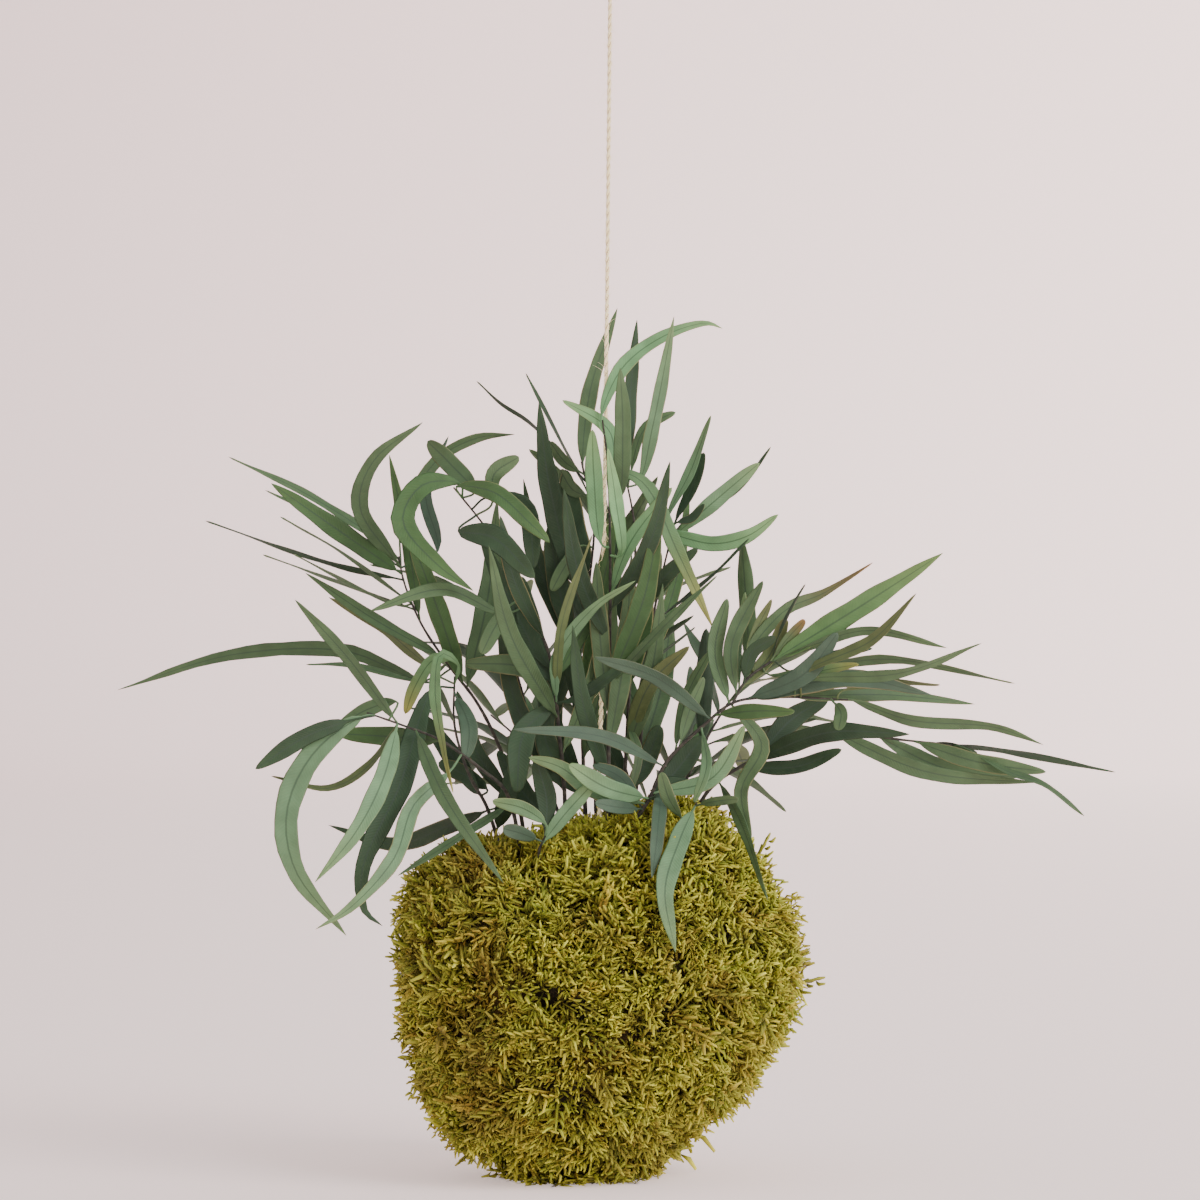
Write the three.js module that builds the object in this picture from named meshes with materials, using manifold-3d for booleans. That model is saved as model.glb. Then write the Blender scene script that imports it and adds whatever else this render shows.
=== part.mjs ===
// Kokedama: a ball of soil wrapped in moss, with sprays of willow-leaved eucalyptus and a jute twine.
// Millimetres, +Z up. The origin is on the flat spot that the ball rests on, straight below its middle.
// Every stem and leaf is written as it is seen from the front: X to the right and Z up, with depth Y
// growing away from the viewer.
import * as THREE from 'three';
import { mergeVertices } from 'three/addons/utils/BufferGeometryUtils.js';
import Module from 'manifold-3d';

const wasm = await Module();
wasm.setup();

// Ball
const BALL_CENTRE_Z = 74;
const BALL_DEPTH_RADIUS = 79;
// Outline radius of the ball every 15 degrees, from +X round through +Z
const BALL_OUTLINE = [
  80, 82, 83, 83.5, 86, 78, 71, 66, 68, 83, 88, 83.5,
  79.5, 80.5, 82, 85, 79, 77, 75.5, 72, 68, 69, 71, 74,
];
const MOSS_THICKNESS = 12;
const MOSS_LUMP = 1.7;
const MOSS_LUMP_PITCH = 21;
const MOSS_TUFT = 1.3;
const MOSS_TUFT_PITCH = 9;
const REST_SPOT = { x: -8, y: 0, radius: 22, shoulder: 12 };
const MOSS_DETAIL = 7;
const CORE_DETAIL = 2;

// Clearances
const FIT_GAP = 0.35;
const CORE_GAP = 0.4;

// Twine
const TWINE_DIAMETER = 1.7;
const TWINE_SIDES = 8;
const TWINE_STEP = 24;
const TWINE_FOOT = [-0.7, -4, 122];
const TWINE_HEAD = [4.1, -4, 476];
const TWINE_BOW = 0.5;
const KNOT_RADIUS = 2.6;
const KNOT_DETAIL = 1;
const LOOP_HEIGHT = 21;
const LOOP_WIDTH = 11;
const LOOP_STEPS = 14;

// Stems
const STEM_SIDES = 5;
const STEM_RADIUS = 1.2;
const STEM_END_RADIUS = 0.6;
const TWIG_RADIUS = 0.7;
// Roots reach this far along a stem, so that its last leaf is sunk in it too
const ROOT_REACH = 0.97;
const ROOT_STEPS = 60;

// Leaf blades
const STATIONS = [0.03, 0.2, 0.48, 0.78];
const PLAIN_STATIONS = [0.03, 0.32, 0.75];
const CURLED_STATIONS = [0.03, 0.16, 0.34, 0.54, 0.74, 0.9];
const CURLED_POINTS = 4;
const PLAIN_LENGTH = 75;
// Slivers where leaves cross are drawn in when they are smaller than this
const SLIVER = 0.04;
const BLADE_THICKNESS = 0.9;
const PETIOLE_WIDTH = 1.2;
const PETIOLE_GAP = 3;
// A blade's outline: the powers of its opening at the base and of its closing at the tip. A short leaf
// closes bluntly and a long one runs out to a point.
const BLADE_RISE = 0.5;
const BLUNT_FALL = 0.42;
const POINTED_FALL = 0.85;
const BLUNT_LENGTH = 30;
const POINTED_LENGTH = 85;
const BLADE_TWIST = 1.3;
const DEPTH_SCATTER = 0.8;
const HANGING_DEPTH = 30;
const FRONT = new THREE.Vector3(0, -1, 0);
// A leaf that would touch another spray swings its tip forward or back until it is clear
const SWINGS = [0, -5, 5, -10, 10, -16, 16, -24, 24];

// Upright leaves that fill the middle of the plant: each spray's count, and how far their tips stand
// behind the stem
const FILLERS = {
  spray_left_high: { count: 2, depth: 10 },
  spray_left_centre: { count: 5, depth: -12 },
  spray_centre_left: { count: 6, depth: 6 },
  spray_centre_front: { count: 6, depth: -14 },
  spray_centre_right: { count: 5, depth: 4 },
  spray_right_tall: { count: 4, depth: 10 },
};
const FIRST_FILLER_SEED = 50;
const FILLER_FIRST = 0.27;
const FILLER_LAST = 0.61;
const FILLER_LEAN = [3, 27];
const FILLER_RISE = [48, 80];
const FILLER_WIDTH = [5.5, 9.5];
// How much of its lean a filler has by half way
const FILLER_BEND = 0.7;

// Each leaf row: width as seen, how far the tip stands behind its root, then [x, z] from base to tip
const SPRAYS = [
  {
    name: 'spray_left_low',
    twigs: [[
      [-28, -12, 104], [-30, -14, 118], [-37, -20, 154], [-47, -22, 163.5], [-63, -25, 175],
      [-78, -27, 181], [-92, -28, 186],
    ]],
    leaves: [
      [10, -12, [-92, 185], [-112, 171], [-123, 148], [-120, 125], [-99.6, 98.6]],
      [7, 8, [-98, 183], [-115, 177], [-135.4, 164]],
      [8, 14, [-62, 174], [-85, 176], [-106, 177]],
      [3, -8, [-81, 181], [-91, 165], [-107, 156], [-129.6, 161]],
      [8, -14, [-79, 182], [-85, 160], [-95, 140], [-110.4, 121]],
      [7, -20, [-59, 163], [-73, 150], [-80, 130], [-97, 111], [-110, 103]],
      [6.5, -42, [-74, 178], [-60, 153], [-37.3, 121]],
      [6, 10, [-80, 190], [-92, 187], [-104, 180]],
      [5.5, 6, [-79, 182], [-99.7, 207.5], [-121, 230.5]],
    ],
  },
  {
    name: 'spray_left_middle',
    twigs: [[
      [-33, 2, 104], [-36, 2, 115], [-45, 0, 147], [-52, -2, 160], [-58, -4, 180], [-58, -6, 200],
    ]],
    leaves: [
      [7, 22, [-46, 146], [-62, 139], [-84, 131], [-111, 138.4]],
      [3.5, -34, [-38, 148], [-58, 135], [-79.5, 122]],
      [9.5, -22, [-66, 195], [-79, 157], [-93, 125], [-92, 109], [-85, 103]],
      [4.5, -8, [-56, 204], [-63, 209], [-65, 195], [-61, 170], [-57.7, 154.4]],
      [5.5, -10, [-57, 206], [-66, 207], [-74, 196], [-78, 184.8]],
      [3, 6, [-66, 200], [-62, 191], [-58, 182]],
      [7, -12, [-58, 193], [-52, 180], [-53, 167.5]],
      [7, 8, [-45, 154], [-54, 160], [-65, 165]],
      [8, -10, [-41, 138], [-37, 151], [-33, 167]],
      [8, 12, [-47, 151], [-60, 168], [-72, 184]],
    ],
  },
  {
    name: 'spray_left_high',
    twigs: [[
      [-24, 8, 104], [-28, 8, 118], [-33, 8, 150], [-42, 9, 175], [-50, 10, 190], [-60, 11, 203],
      [-72, 12, 221], [-79, 13, 238], [-81, 14, 248],
    ]],
    leaves: [
      [6, -12, [-70, 197], [-82, 201.5], [-103, 209.5], [-150, 208], [-198, 193.5]],
      [3.5, 4, [-68, 207], [-115, 213], [-137, 209.5]],
      [2.3, 10, [-70, 198], [-100, 204], [-118, 204.5]],
      [4.5, 8, [-66, 203], [-90, 220.5], [-110.5, 231.5]],
      [1.5, -6, [-77, 226], [-106, 238], [-137, 248.8]],
      [5, -6, [-64, 205], [-92, 223], [-119, 241.3]],
      [2, -10, [-78, 238], [-110, 245.7], [-160, 262.5]],
      [1.5, 12, [-80, 228], [-110, 242], [-124, 249]],
      [3.5, 6, [-82, 248], [-117, 272], [-151, 288.6]],
      [8, -8, [-82, 241], [-105, 258.5], [-131.4, 277]],
      [2, 16, [-82, 243], [-110, 262], [-137.4, 275.5]],
      [1.5, 2, [-78, 229], [-102, 249], [-127.4, 263.6]],
      [7, -6, [-80, 243], [-96, 268], [-90, 286], [-70.5, 301]],
      [5.5, -4, [-71.5, 222], [-77, 252], [-85, 289]],
      [8, -14, [-57, 197], [-65, 228], [-79, 266]],
      [5.5, 12, [-66, 250], [-71, 275], [-62, 297.5]],
      [5, 16, [-80, 262], [-66, 287], [-50, 296], [-34.5, 297.5]],
    ],
  },
  {
    name: 'spray_left_centre',
    twigs: [[
      [-13, -6, 104], [-15, -6, 118], [-14, -8, 150], [-17, -10, 185], [-20, -11, 208],
      [-29, -13, 229], [-37, -15, 246], [-46, -17, 260], [-58, -20, 275],
    ]],
    leaves: [
      [9.5, -16, [-55, 276], [-70, 276], [-78, 262], [-65, 245], [-50, 234]],
      [8, 8, [-50, 273], [-60, 285], [-69, 294]],
      [6.5, 6, [-43, 268], [-42, 280], [-32, 287]],
      [7.5, -8, [-57, 275], [-42, 273], [-27, 260], [-19.8, 253]],
      [9.5, -14, [-56, 258], [-42, 255], [-25.5, 239]],
      [8, -4, [-45, 271], [-30, 267], [-26, 243]],
      [5.5, -10, [-38, 225], [-62, 234.5], [-91, 226]],
      [8, -4, [-15, 190], [-30, 203], [-54, 205]],
      [9, 8, [-20, 196], [-35, 228], [-48, 256]],
      [9, 2, [-20, 200], [-27, 217], [-32, 240]],
      [7, -8, [-36, 228], [-42, 219], [-47, 209]],
      [4, -10, [-19, 192], [-15, 222], [-3, 256]],
      [5, -14, [-17.5, 189], [-17, 208], [-2, 228], [14, 238]],
      [4.5, -16, [-17, 188], [-8, 192], [12, 206]],
      [10, -4, [-17, 190], [-30, 178], [-33, 154]],
      [9, 8, [-16, 188], [-22, 178], [-17, 162]],
      [8, 12, [-15, 139], [-28, 150], [-41, 170]],
    ],
  },
  {
    name: 'spray_centre_left',
    twigs: [[
      [-6, 10, 104], [-5, 10, 118], [-7, 8, 180], [-5, 7, 230], [-2.5, 6, 262], [-7.5, 6, 286],
    ]],
    leaves: [
      [9, -6, [-8, 235], [-20, 275], [-24.5, 310]],
      [5, 8, [-7, 282], [-14, 286], [-20, 294]],
      [5, 12, [-4, 271], [-11, 275], [-16, 283]],
      [1.5, 4, [-5, 272], [-18, 298], [-30, 322]],
      [1.3, -6, [-7, 278], [-28, 302], [-40, 310], [-50, 319]],
      [10, 2, [-4, 240], [-11, 262], [-14, 283]],
      [9, -10, [-10, 215], [-17, 238], [-20, 262]],
      [6, -12, [-8, 252], [-14, 244], [-19.5, 234]],
      [6.5, 4, [-7, 285], [-4, 315], [7, 348.5]],
      [8, 4, [-6, 150], [-16, 162], [-24, 178]],
    ],
  },
  {
    name: 'spray_centre_front',
    twigs: [[
      [3, -12, 104], [3, -12, 118], [3.5, -12, 180], [4, -12, 250], [3, -12, 285], [1, -12, 302],
    ]],
    leaves: [
      [6, -14, [0.5, 303], [9, 323], [26, 336], [43, 341], [49, 339]],
      [6, -10, [5, 272], [4, 297], [-15, 310]],
      [7, -6, [1, 252], [-2.5, 281], [-3, 298]],
      [5.5, -12, [8, 248], [6, 270], [3, 290]],
      [7, -2, [7, 270], [9, 296], [8, 322]],
      [6.5, -18, [4, 282.5], [17, 277], [31, 249], [45, 219]],
      [6, -16, [2, 232], [12, 253], [28.5, 275]],
      [4, -10, [5, 197], [25, 219.5], [46, 240]],
    ],
  },
  {
    name: 'spray_centre_right',
    twigs: [[
      [8, 6, 104], [8, 6, 118], [11, 6, 180], [14, 5, 240], [13.6, 5, 262], [10, 5, 281],
    ]],
    leaves: [
      [6, 8, [10, 281], [11.5, 305], [15, 344]],
      [5.8, -4, [15, 277], [21, 300], [29.4, 343]],
      [4.5, -8, [12.5, 282], [18, 299], [30.4, 306]],
      [4, 10, [16, 264], [28, 290], [36.3, 306.4]],
      [5, -6, [15, 262], [32, 286], [40, 300], [38, 316.5]],
      [6, -4, [15, 222], [26, 240], [39, 251]],
      [5, 6, [14, 215], [20, 233], [24, 250]],
      [5, -8, [16, 225], [24, 235], [31, 243]],
      [7, -12, [9, 172], [20, 197], [35.5, 212]],
      [1.3, 4, [13, 199], [27, 211], [38.5, 219.5]],
      [4, -16, [11, 180], [15, 168], [11.5, 154]],
      [8, 4, [10, 152], [18, 164], [24, 180]],
    ],
  },
  {
    name: 'spray_right_tall',
    twigs: [[
      [13, 16, 104], [12, 16, 118], [16, 16, 170], [20, 15, 215], [26, 14, 245], [30, 13, 260],
    ]],
    leaves: [
      [4, -4, [27, 262], [37, 283], [44.8, 305]],
      [4.5, 6, [30, 261], [37, 275], [42, 290]],
      [6.5, -8, [30, 256], [47, 271], [64, 285.4]],
      [3, 10, [34, 262], [58, 277], [69.8, 293]],
      [4, -2, [30, 261], [37, 263], [42, 268.8]],
      [6.5, -14, [25, 258], [45, 253], [59, 256], [71.3, 264.6]],
      [1.5, -6, [20, 222], [45, 240], [59.5, 255]],
    ],
  },
  {
    name: 'spray_right_main',
    twigs: [
      [
        [9, -20, 104], [10, -21, 116], [12, -22, 138], [20, -24, 153], [26, -25, 166],
        [41, -26, 181], [53, -26, 190], [70, -25, 192], [98, -24, 191],
      ],
      [[52, -26, 189], [58, -24, 199], [69, -21, 207]],
    ],
    leaves: [
      [6.5, 8, [49, 191], [45.5, 210], [50.5, 231]],
      [6.5, -4, [53, 193], [52, 212], [64.5, 238]],
      [2.5, 14, [54, 195], [56, 215], [58, 233.6]],
      [4, 10, [58, 206], [63, 220], [68.7, 230.7]],
      [6, -8, [54.5, 199], [60, 210], [69, 216]],
      [6, 4, [57, 194], [67, 208], [74, 223]],
      [4, -2, [66, 208], [73, 214], [81, 222.7]],
      [5, 16, [56, 203], [74, 226], [90, 233], [110, 245.5]],
      [9, 6, [70, 206], [100, 226], [135.6, 249]],
      [1.3, 12, [70, 214], [76, 227], [81.4, 236.7]],
      [4.5, -6, [80, 201], [107, 215], [123.3, 233]],
      [4, 14, [68, 206], [105, 218.5], [137, 211.5]],
      [4.5, -10, [78, 198], [118, 202], [149, 213.5]],
      [3.8, 2, [66, 201], [115, 207], [166, 197]],
      [3, 20, [76, 202], [92, 208], [109, 211]],
      [8, -12, [59, 192], [98, 199.5], [131, 193]],
      [5.5, -4, [75, 191], [115, 192.5], [149.6, 188.8]],
      [3, 8, [95, 194], [115, 198], [135, 196.7]],
      [8, -16, [58, 191], [80, 201], [93.5, 217.5]],
      [4, -18, [70, 197], [86, 202], [102, 205]],
      [6, -12, [45, 184], [60, 187], [76, 187]],
      [6, -6, [92, 192], [95, 186], [94, 179]],
      [4.8, -2, [99, 191], [123, 183], [157, 180], [175.8, 173]],
      [6, -14, [43, 184], [22, 200], [-2, 208]],
      [5.5, -16, [24, 166], [0, 177], [-34, 180]],
      [8, -14, [19, 153], [2, 157], [-12.3, 166]],
      [6.5, -10, [53, 187], [64, 173], [56, 155], [60, 136]],
      [4, -16, [41, 178], [42, 165], [37, 151]],
      [7, -20, [22, 154], [44, 160], [57, 181]],
      [6, -44, [19, 152], [23, 153], [22.5, 142], [20, 123]],
      [4.5, 6, [29, 170], [35, 193], [44, 210]],
      [5, -4, [31, 172], [35, 186], [41, 200]],
      [7, -8, [16, 150], [-3, 156], [-16, 165], [-28, 168.7]],
      [9, 6, [18, 151], [28, 160], [41, 176]],
      [5.5, 6, [17, 149], [8, 160], [-3, 165]],
      [6, 6, [17, 151], [26, 157], [37, 157]],
      [5, -14, [16, 149], [7, 149], [-2, 151]],
    ],
  },
  {
    name: 'spray_right_low',
    twigs: [[
      [32, -2, 104], [34, -3, 118], [40, -4, 149], [47, -4, 158], [60, -4, 166], [80, -4, 177],
      [100, -3, 178], [117, -2, 175], [146, -1, 172],
    ]],
    leaves: [
      [8, -6, [62, 165], [90, 178], [122, 177.5]],
      [6, -12, [58, 163], [78, 164], [96, 171]],
      [6.5, 8, [92, 176], [130, 162], [173, 157.5]],
      [7, -8, [110.6, 174], [138, 163], [168, 159]],
      [7, -2, [125, 173], [150, 166], [177.4, 162]],
      [4, 6, [130, 174], [140, 172], [151, 169]],
      [2.8, 4, [136, 173], [163, 170], [207.7, 161]],
      [2.5, -4, [146, 171], [162, 162], [176, 157], [191.4, 145]],
      [9, 8, [62, 168], [78, 183], [92, 191]],
      [4, -36, [46, 158], [56, 142], [65.6, 113]],
    ],
  },
  {
    name: 'spray_front_right',
    twigs: [[[24, -25, 106], [27, -31, 122], [32, -38, 140], [38, -41, 151]]],
    leaves: [
      [8.5, -38, [38, 151], [31, 137], [25, 118], [29, 95]],
      [4, -6, [37, 150], [45, 152], [54, 153]],
      [5, -6, [33, 143], [27, 153], [24, 163]],
    ],
  },
  {
    name: 'spray_front_low',
    twigs: [[[-21, -23, 105], [-22, -27, 118], [-24, -34, 131], [-21, -38, 139]]],
    leaves: [
      [6, -8, [-21, 142], [-30, 149], [-42, 152]],
      [6.5, -10, [-24, 134], [-14, 146], [-2, 159]],
      [6, -8, [-24, 136], [-31, 139], [-38, 141]],
      [8, 8, [-22, 138], [-21, 152], [-25, 168]],
    ],
  },
];

// The sprays behind, which the front hides: their leaves follow a rule
const BACK_SPRAYS = [
  { name: 'spray_back_left', count: 9, length: 62,
    stem: [[-14, 24, 104], [-16, 30, 118], [-24, 42, 160], [-34, 54, 200], [-42, 62, 226]] },
  { name: 'spray_back_middle', count: 9, length: 64,
    stem: [[2, 28, 104], [0, 34, 118], [-2, 44, 170], [2, 54, 222], [6, 60, 258]] },
  { name: 'spray_back_right', count: 9, length: 58,
    stem: [[18, 26, 104], [22, 31, 118], [34, 42, 154], [50, 54, 184], [64, 62, 202]] },
  { name: 'spray_back_low_left', count: 8, length: 56,
    stem: [[-7, 34, 104], [-10, 44, 118], [-20, 64, 150], [-34, 86, 172], [-46, 106, 182]] },
  { name: 'spray_back_low_right', count: 8, length: 56,
    stem: [[9, 34, 104], [12, 44, 118], [22, 64, 148], [38, 86, 166], [56, 104, 174]] },
];
const BACK_FIRST = 0.45;
const BACK_SPREAD = 0.8;
const BACK_DROOP = 0.14;
const BACK_WIDTH = 7.5;
const GOLDEN_ANGLE = Math.PI * (3 - Math.sqrt(5));

const vec = (point) => new THREE.Vector3(...point);
const curveThrough = (points) => new THREE.CatmullRomCurve3(points, false, 'centripetal');

// A repeatable value from 0 to 1 for each whole number
function scatter(number) {
  const value = Math.sin(number * 12.9898) * 43758.5453;
  return value - Math.floor(value);
}

function solidFrom(positions, triangles) {
  return new wasm.Manifold(new wasm.Mesh({
    numProp: 3,
    vertProperties: new Float32Array(positions),
    triVerts: new Uint32Array(triangles),
  }));
}

function solidOf(geometry) {
  geometry.deleteAttribute('normal');
  geometry.deleteAttribute('uv');
  const merged = mergeVertices(geometry, 1e-3);
  return solidFrom(merged.attributes.position.array, merged.index.array);
}

function meshOf(name, solid, colour, roughness) {
  const { vertProperties, triVerts } = solid.getMesh();
  const geometry = new THREE.BufferGeometry();
  geometry.setAttribute('position', new THREE.BufferAttribute(vertProperties, 3));
  geometry.setIndex(new THREE.BufferAttribute(triVerts, 1));
  geometry.computeVertexNormals();
  const material = new THREE.MeshStandardMaterial({ color: colour, roughness, metalness: 0 });
  const mesh = new THREE.Mesh(geometry, material);
  mesh.name = name;
  return mesh;
}

// Closed skin over rings of points, flat at the start and flat or pointed at the end. Both faces of a
// flat section are split into triangles alike.
function loft(rings, tip) {
  const sides = rings[0].length;
  const points = rings.flat();
  const triangles = [];
  for (let ring = 0; ring + 1 < rings.length; ring += 1) {
    for (let side = 0; side < sides; side += 1) {
      const next = (side + 1) % sides;
      const a = ring * sides + side;
      const b = ring * sides + next;
      const c = b + sides;
      const d = a + sides;
      triangles.push(...(side < sides / 2 ? [a, b, c, a, c, d] : [a, b, d, b, c, d]));
    }
  }
  const last = (rings.length - 1) * sides;
  for (let side = 1; side + 1 < sides; side += 1) triangles.push(0, side + 1, side);
  if (tip) {
    points.push(tip);
    for (let side = 0; side < sides; side += 1) {
      triangles.push(last + side, last + ((side + 1) % sides), points.length - 1);
    }
  } else {
    for (let side = 1; side + 1 < sides; side += 1) triangles.push(last, last + side, last + side + 1);
  }
  return solidFrom(points.flatMap((point) => point.toArray()), triangles);
}

// Unit vectors across a tangent: the facing direction made square to it, and the side
function frameAcross(tangent, facing) {
  const normal = facing.clone().addScaledVector(tangent, -facing.dot(tangent)).normalize();
  return { normal, side: normal.clone().cross(tangent).normalize() };
}

function twigSolid(points, radius, endRadius, grow = 0) {
  const curve = curveThrough(points.map(vec));
  const count = points.length + 1;
  const rings = [];
  for (let ring = 0; ring < count; ring += 1) {
    const along = ring / (count - 1);
    const centre = curve.getPointAt(along);
    const { normal, side } = frameAcross(curve.getTangentAt(along), FRONT);
    const reach = THREE.MathUtils.lerp(radius, endRadius, along) + grow;
    rings.push(Array.from({ length: STEM_SIDES }, (_, corner) => {
      const angle = (corner / STEM_SIDES) * 2 * Math.PI;
      return centre.clone()
        .addScaledVector(side, reach * Math.cos(angle))
        .addScaledVector(normal, reach * Math.sin(angle));
    }));
  }
  return loft(rings);
}

// The point of a spray's twigs that lies nearest to a leaf's base as seen from the front
function rootNear(twigs, base) {
  let best = { gap: Infinity };
  for (const twig of twigs) {
    const curve = curveThrough(twig.map(vec));
    for (let step = 0; step <= ROOT_STEPS; step += 1) {
      const point = curve.getPointAt((ROOT_REACH * step) / ROOT_STEPS);
      const gap = Math.hypot(point.x - base[0], point.z - base[1]);
      if (gap < best.gap) best = { gap, point };
    }
  }
  return best;
}

function stationsOf(pointCount, length) {
  if (pointCount >= CURLED_POINTS) return CURLED_STATIONS;
  return length < PLAIN_LENGTH ? PLAIN_STATIONS : STATIONS;
}

// A leaf of the front sprays: its path in depth springs away from the stem and then levels out. Leaves
// stand out to the front and back at random, but one that hangs over the ball keeps to its depth.
function frontLeaf(twigs, row, seed, swing) {
  const [width, depth, ...seen] = row;
  const { gap, point: root } = rootNear(twigs, seen[0]);
  const flat = gap > PETIOLE_GAP ? seen : seen.slice(1);
  const chain = [[root.x, root.z], ...flat];
  const lengths = [0];
  for (let step = 1; step < chain.length; step += 1) {
    const [fromX, fromZ] = chain[step - 1];
    lengths.push(lengths[step - 1] + Math.hypot(chain[step][0] - fromX, chain[step][1] - fromZ));
  }
  const total = lengths[lengths.length - 1];
  const hangs = Math.abs(depth) > HANGING_DEPTH;
  const spread = hangs ? 0 : (scatter(seed + 0.25) - 0.5) * DEPTH_SCATTER * total;
  const points = chain.map(([x, z], step) => {
    const away = Math.sin((lengths[step] / total) * Math.PI / 2);
    return new THREE.Vector3(x, root.y + (depth + spread + swing) * away, z);
  });
  const full = Math.max(width, 0.55 * width + 3);
  const turn = Math.acos(width / full) * (scatter(seed) < 0.5 ? -1 : 1);
  return {
    curve: curveThrough(points),
    stations: stationsOf(seen.length, total),
    start: (gap > PETIOLE_GAP ? gap + 2 : PETIOLE_GAP) / total,
    width: full,
    turn,
    twist: (scatter(seed + 0.5) - 0.5) * BLADE_TWIST,
    facing: FRONT,
  };
}

// An upright leaf that fills the middle: fillers lean left and right by turns as they climb the stem
function fillerLeaf(spray, index, seed, swing) {
  const { count, depth } = FILLERS[spray.name];
  const pick = ([low, high], shift) => low + (high - low) * scatter(seed + shift);
  const along = FILLER_FIRST + ((FILLER_LAST - FILLER_FIRST) * index) / (count - 1);
  const { x, z } = curveThrough(spray.twigs[0].map(vec)).getPointAt(along);
  const lean = pick(FILLER_LEAN, 0.3) * (index % 2 ? 1 : -1);
  const rise = pick(FILLER_RISE, 0.6);
  const row = [
    pick(FILLER_WIDTH, 0.4), depth, [x, z], [x + FILLER_BEND * lean, z + rise / 2], [x + lean, z + rise],
  ];
  return { ...frontLeaf(spray.twigs, row, seed, swing), stations: PLAIN_STATIONS };
}

// A leaf of the back sprays: leaves stand round the stem, a golden angle apart, and droop a little
function backLeaf(spray, index, seed, swing) {
  const curve = curveThrough(spray.stem.map(vec));
  const along = BACK_FIRST + ((ROOT_REACH - BACK_FIRST) * index) / (spray.count - 1);
  const root = curve.getPointAt(along);
  const tangent = curve.getTangentAt(along);
  const { normal, side } = frameAcross(tangent, FRONT);
  const round = index * GOLDEN_ANGLE + swing / 16;
  const direction = tangent.clone().multiplyScalar(Math.cos(BACK_SPREAD))
    .addScaledVector(side, Math.sin(BACK_SPREAD) * Math.cos(round))
    .addScaledVector(normal, Math.sin(BACK_SPREAD) * Math.sin(round));
  const length = spray.length * (0.8 + 0.4 * scatter(seed));
  const middle = root.clone().addScaledVector(direction, length / 2);
  const tip = root.clone().addScaledVector(direction, length);
  tip.z -= BACK_DROOP * length;
  return {
    curve: curveThrough([root, middle, tip]),
    stations: PLAIN_STATIONS,
    start: PETIOLE_GAP / length,
    width: BACK_WIDTH,
    turn: 0,
    twist: (scatter(seed + 0.5) - 0.5) * BLADE_TWIST,
    facing: new THREE.Vector3(0.1, 0.35, 0.93),
  };
}

// Width of a blade along its length, 1 at the widest
function bladeProfile(along, length) {
  const pointed = THREE.MathUtils.smoothstep(length, BLUNT_LENGTH, POINTED_LENGTH);
  const fall = BLUNT_FALL + (POINTED_FALL - BLUNT_FALL) * pointed;
  const peak = BLADE_RISE / (BLADE_RISE + fall);
  const shape = (value) => value ** BLADE_RISE * (1 - value) ** fall;
  return shape(along) / shape(peak);
}

// Flat blade with its midrib below: right edge, left edge and rib in each ring
function bladeSolid(leaf, grow = 0) {
  const { curve, stations, start, width, turn, twist, facing } = leaf;
  const places = [0, ...stations.map((station) => start + (1 - start) * station)];
  const length = curve.getLength();
  const rings = places.map((along, ring) => {
    const centre = curve.getPointAt(along);
    const { normal, side } = frameAcross(curve.getTangentAt(along), facing);
    const angle = turn + twist * (along - 0.5);
    const up = normal.clone().multiplyScalar(Math.cos(angle)).addScaledVector(side, Math.sin(angle));
    const out = side.clone().multiplyScalar(Math.cos(angle)).addScaledVector(normal, -Math.sin(angle));
    const blade = ring === 0 ? 0 : width * bladeProfile(stations[ring - 1], length);
    const half = Math.max(blade, PETIOLE_WIDTH) / 2 + grow;
    const thick = BLADE_THICKNESS / 2 + grow;
    const corner = (across, rise) => centre.clone().addScaledVector(out, across).addScaledVector(up, rise);
    return [corner(half, thick), corner(-half, thick), corner(0, -thick)];
  });
  return loft(rings, curve.getPointAt(1));
}

// Radius of the ball in a direction, without the moss relief
function ballRadius(direction) {
  const count = BALL_OUTLINE.length;
  const turn = (Math.atan2(direction.z, direction.x) / (2 * Math.PI)) * count + count;
  const index = Math.floor(turn);
  const blend = (1 - Math.cos((turn - index) * Math.PI)) / 2;
  const from = BALL_OUTLINE[index % count];
  const to = BALL_OUTLINE[(index + 1) % count];
  const outline = from + (to - from) * blend;
  const depthShare = direction.y ** 2;
  return outline * (1 - depthShare) + BALL_DEPTH_RADIUS * depthShare;
}

// Moss relief: broad lumps with smaller tufts on them
function mossRelief(point) {
  const wave = (pitch, shift) => {
    const scale = (2 * Math.PI) / pitch;
    return Math.sin(point.x * scale + shift) * Math.sin(point.y * scale + 2 * shift)
      + Math.sin(point.z * scale - shift);
  };
  return MOSS_LUMP * wave(MOSS_LUMP_PITCH, 0.7) / 2 + MOSS_TUFT * wave(MOSS_TUFT_PITCH, 2.1) / 2;
}

// Sphere shaped by the ball's radius, pressed flat round the rest spot
function ballSolid(detail, inset, relief) {
  const geometry = new THREE.IcosahedronGeometry(1, detail);
  const position = geometry.attributes.position;
  const point = new THREE.Vector3();
  for (let vertex = 0; vertex < position.count; vertex += 1) {
    point.fromBufferAttribute(position, vertex).normalize();
    point.multiplyScalar(ballRadius(point) - inset);
    if (relief) point.setLength(point.length() + mossRelief(point));
    point.z += BALL_CENTRE_Z;
    const away = Math.hypot(point.x - REST_SPOT.x, point.y - REST_SPOT.y);
    const lifted = THREE.MathUtils.smoothstep(away, REST_SPOT.radius, REST_SPOT.radius + REST_SPOT.shoulder);
    if (point.z < BALL_CENTRE_Z) point.z = THREE.MathUtils.lerp(inset, Math.max(point.z, inset), lifted);
    position.setXYZ(vertex, point.x, point.y, point.z);
  }
  return solidOf(geometry);
}

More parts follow.
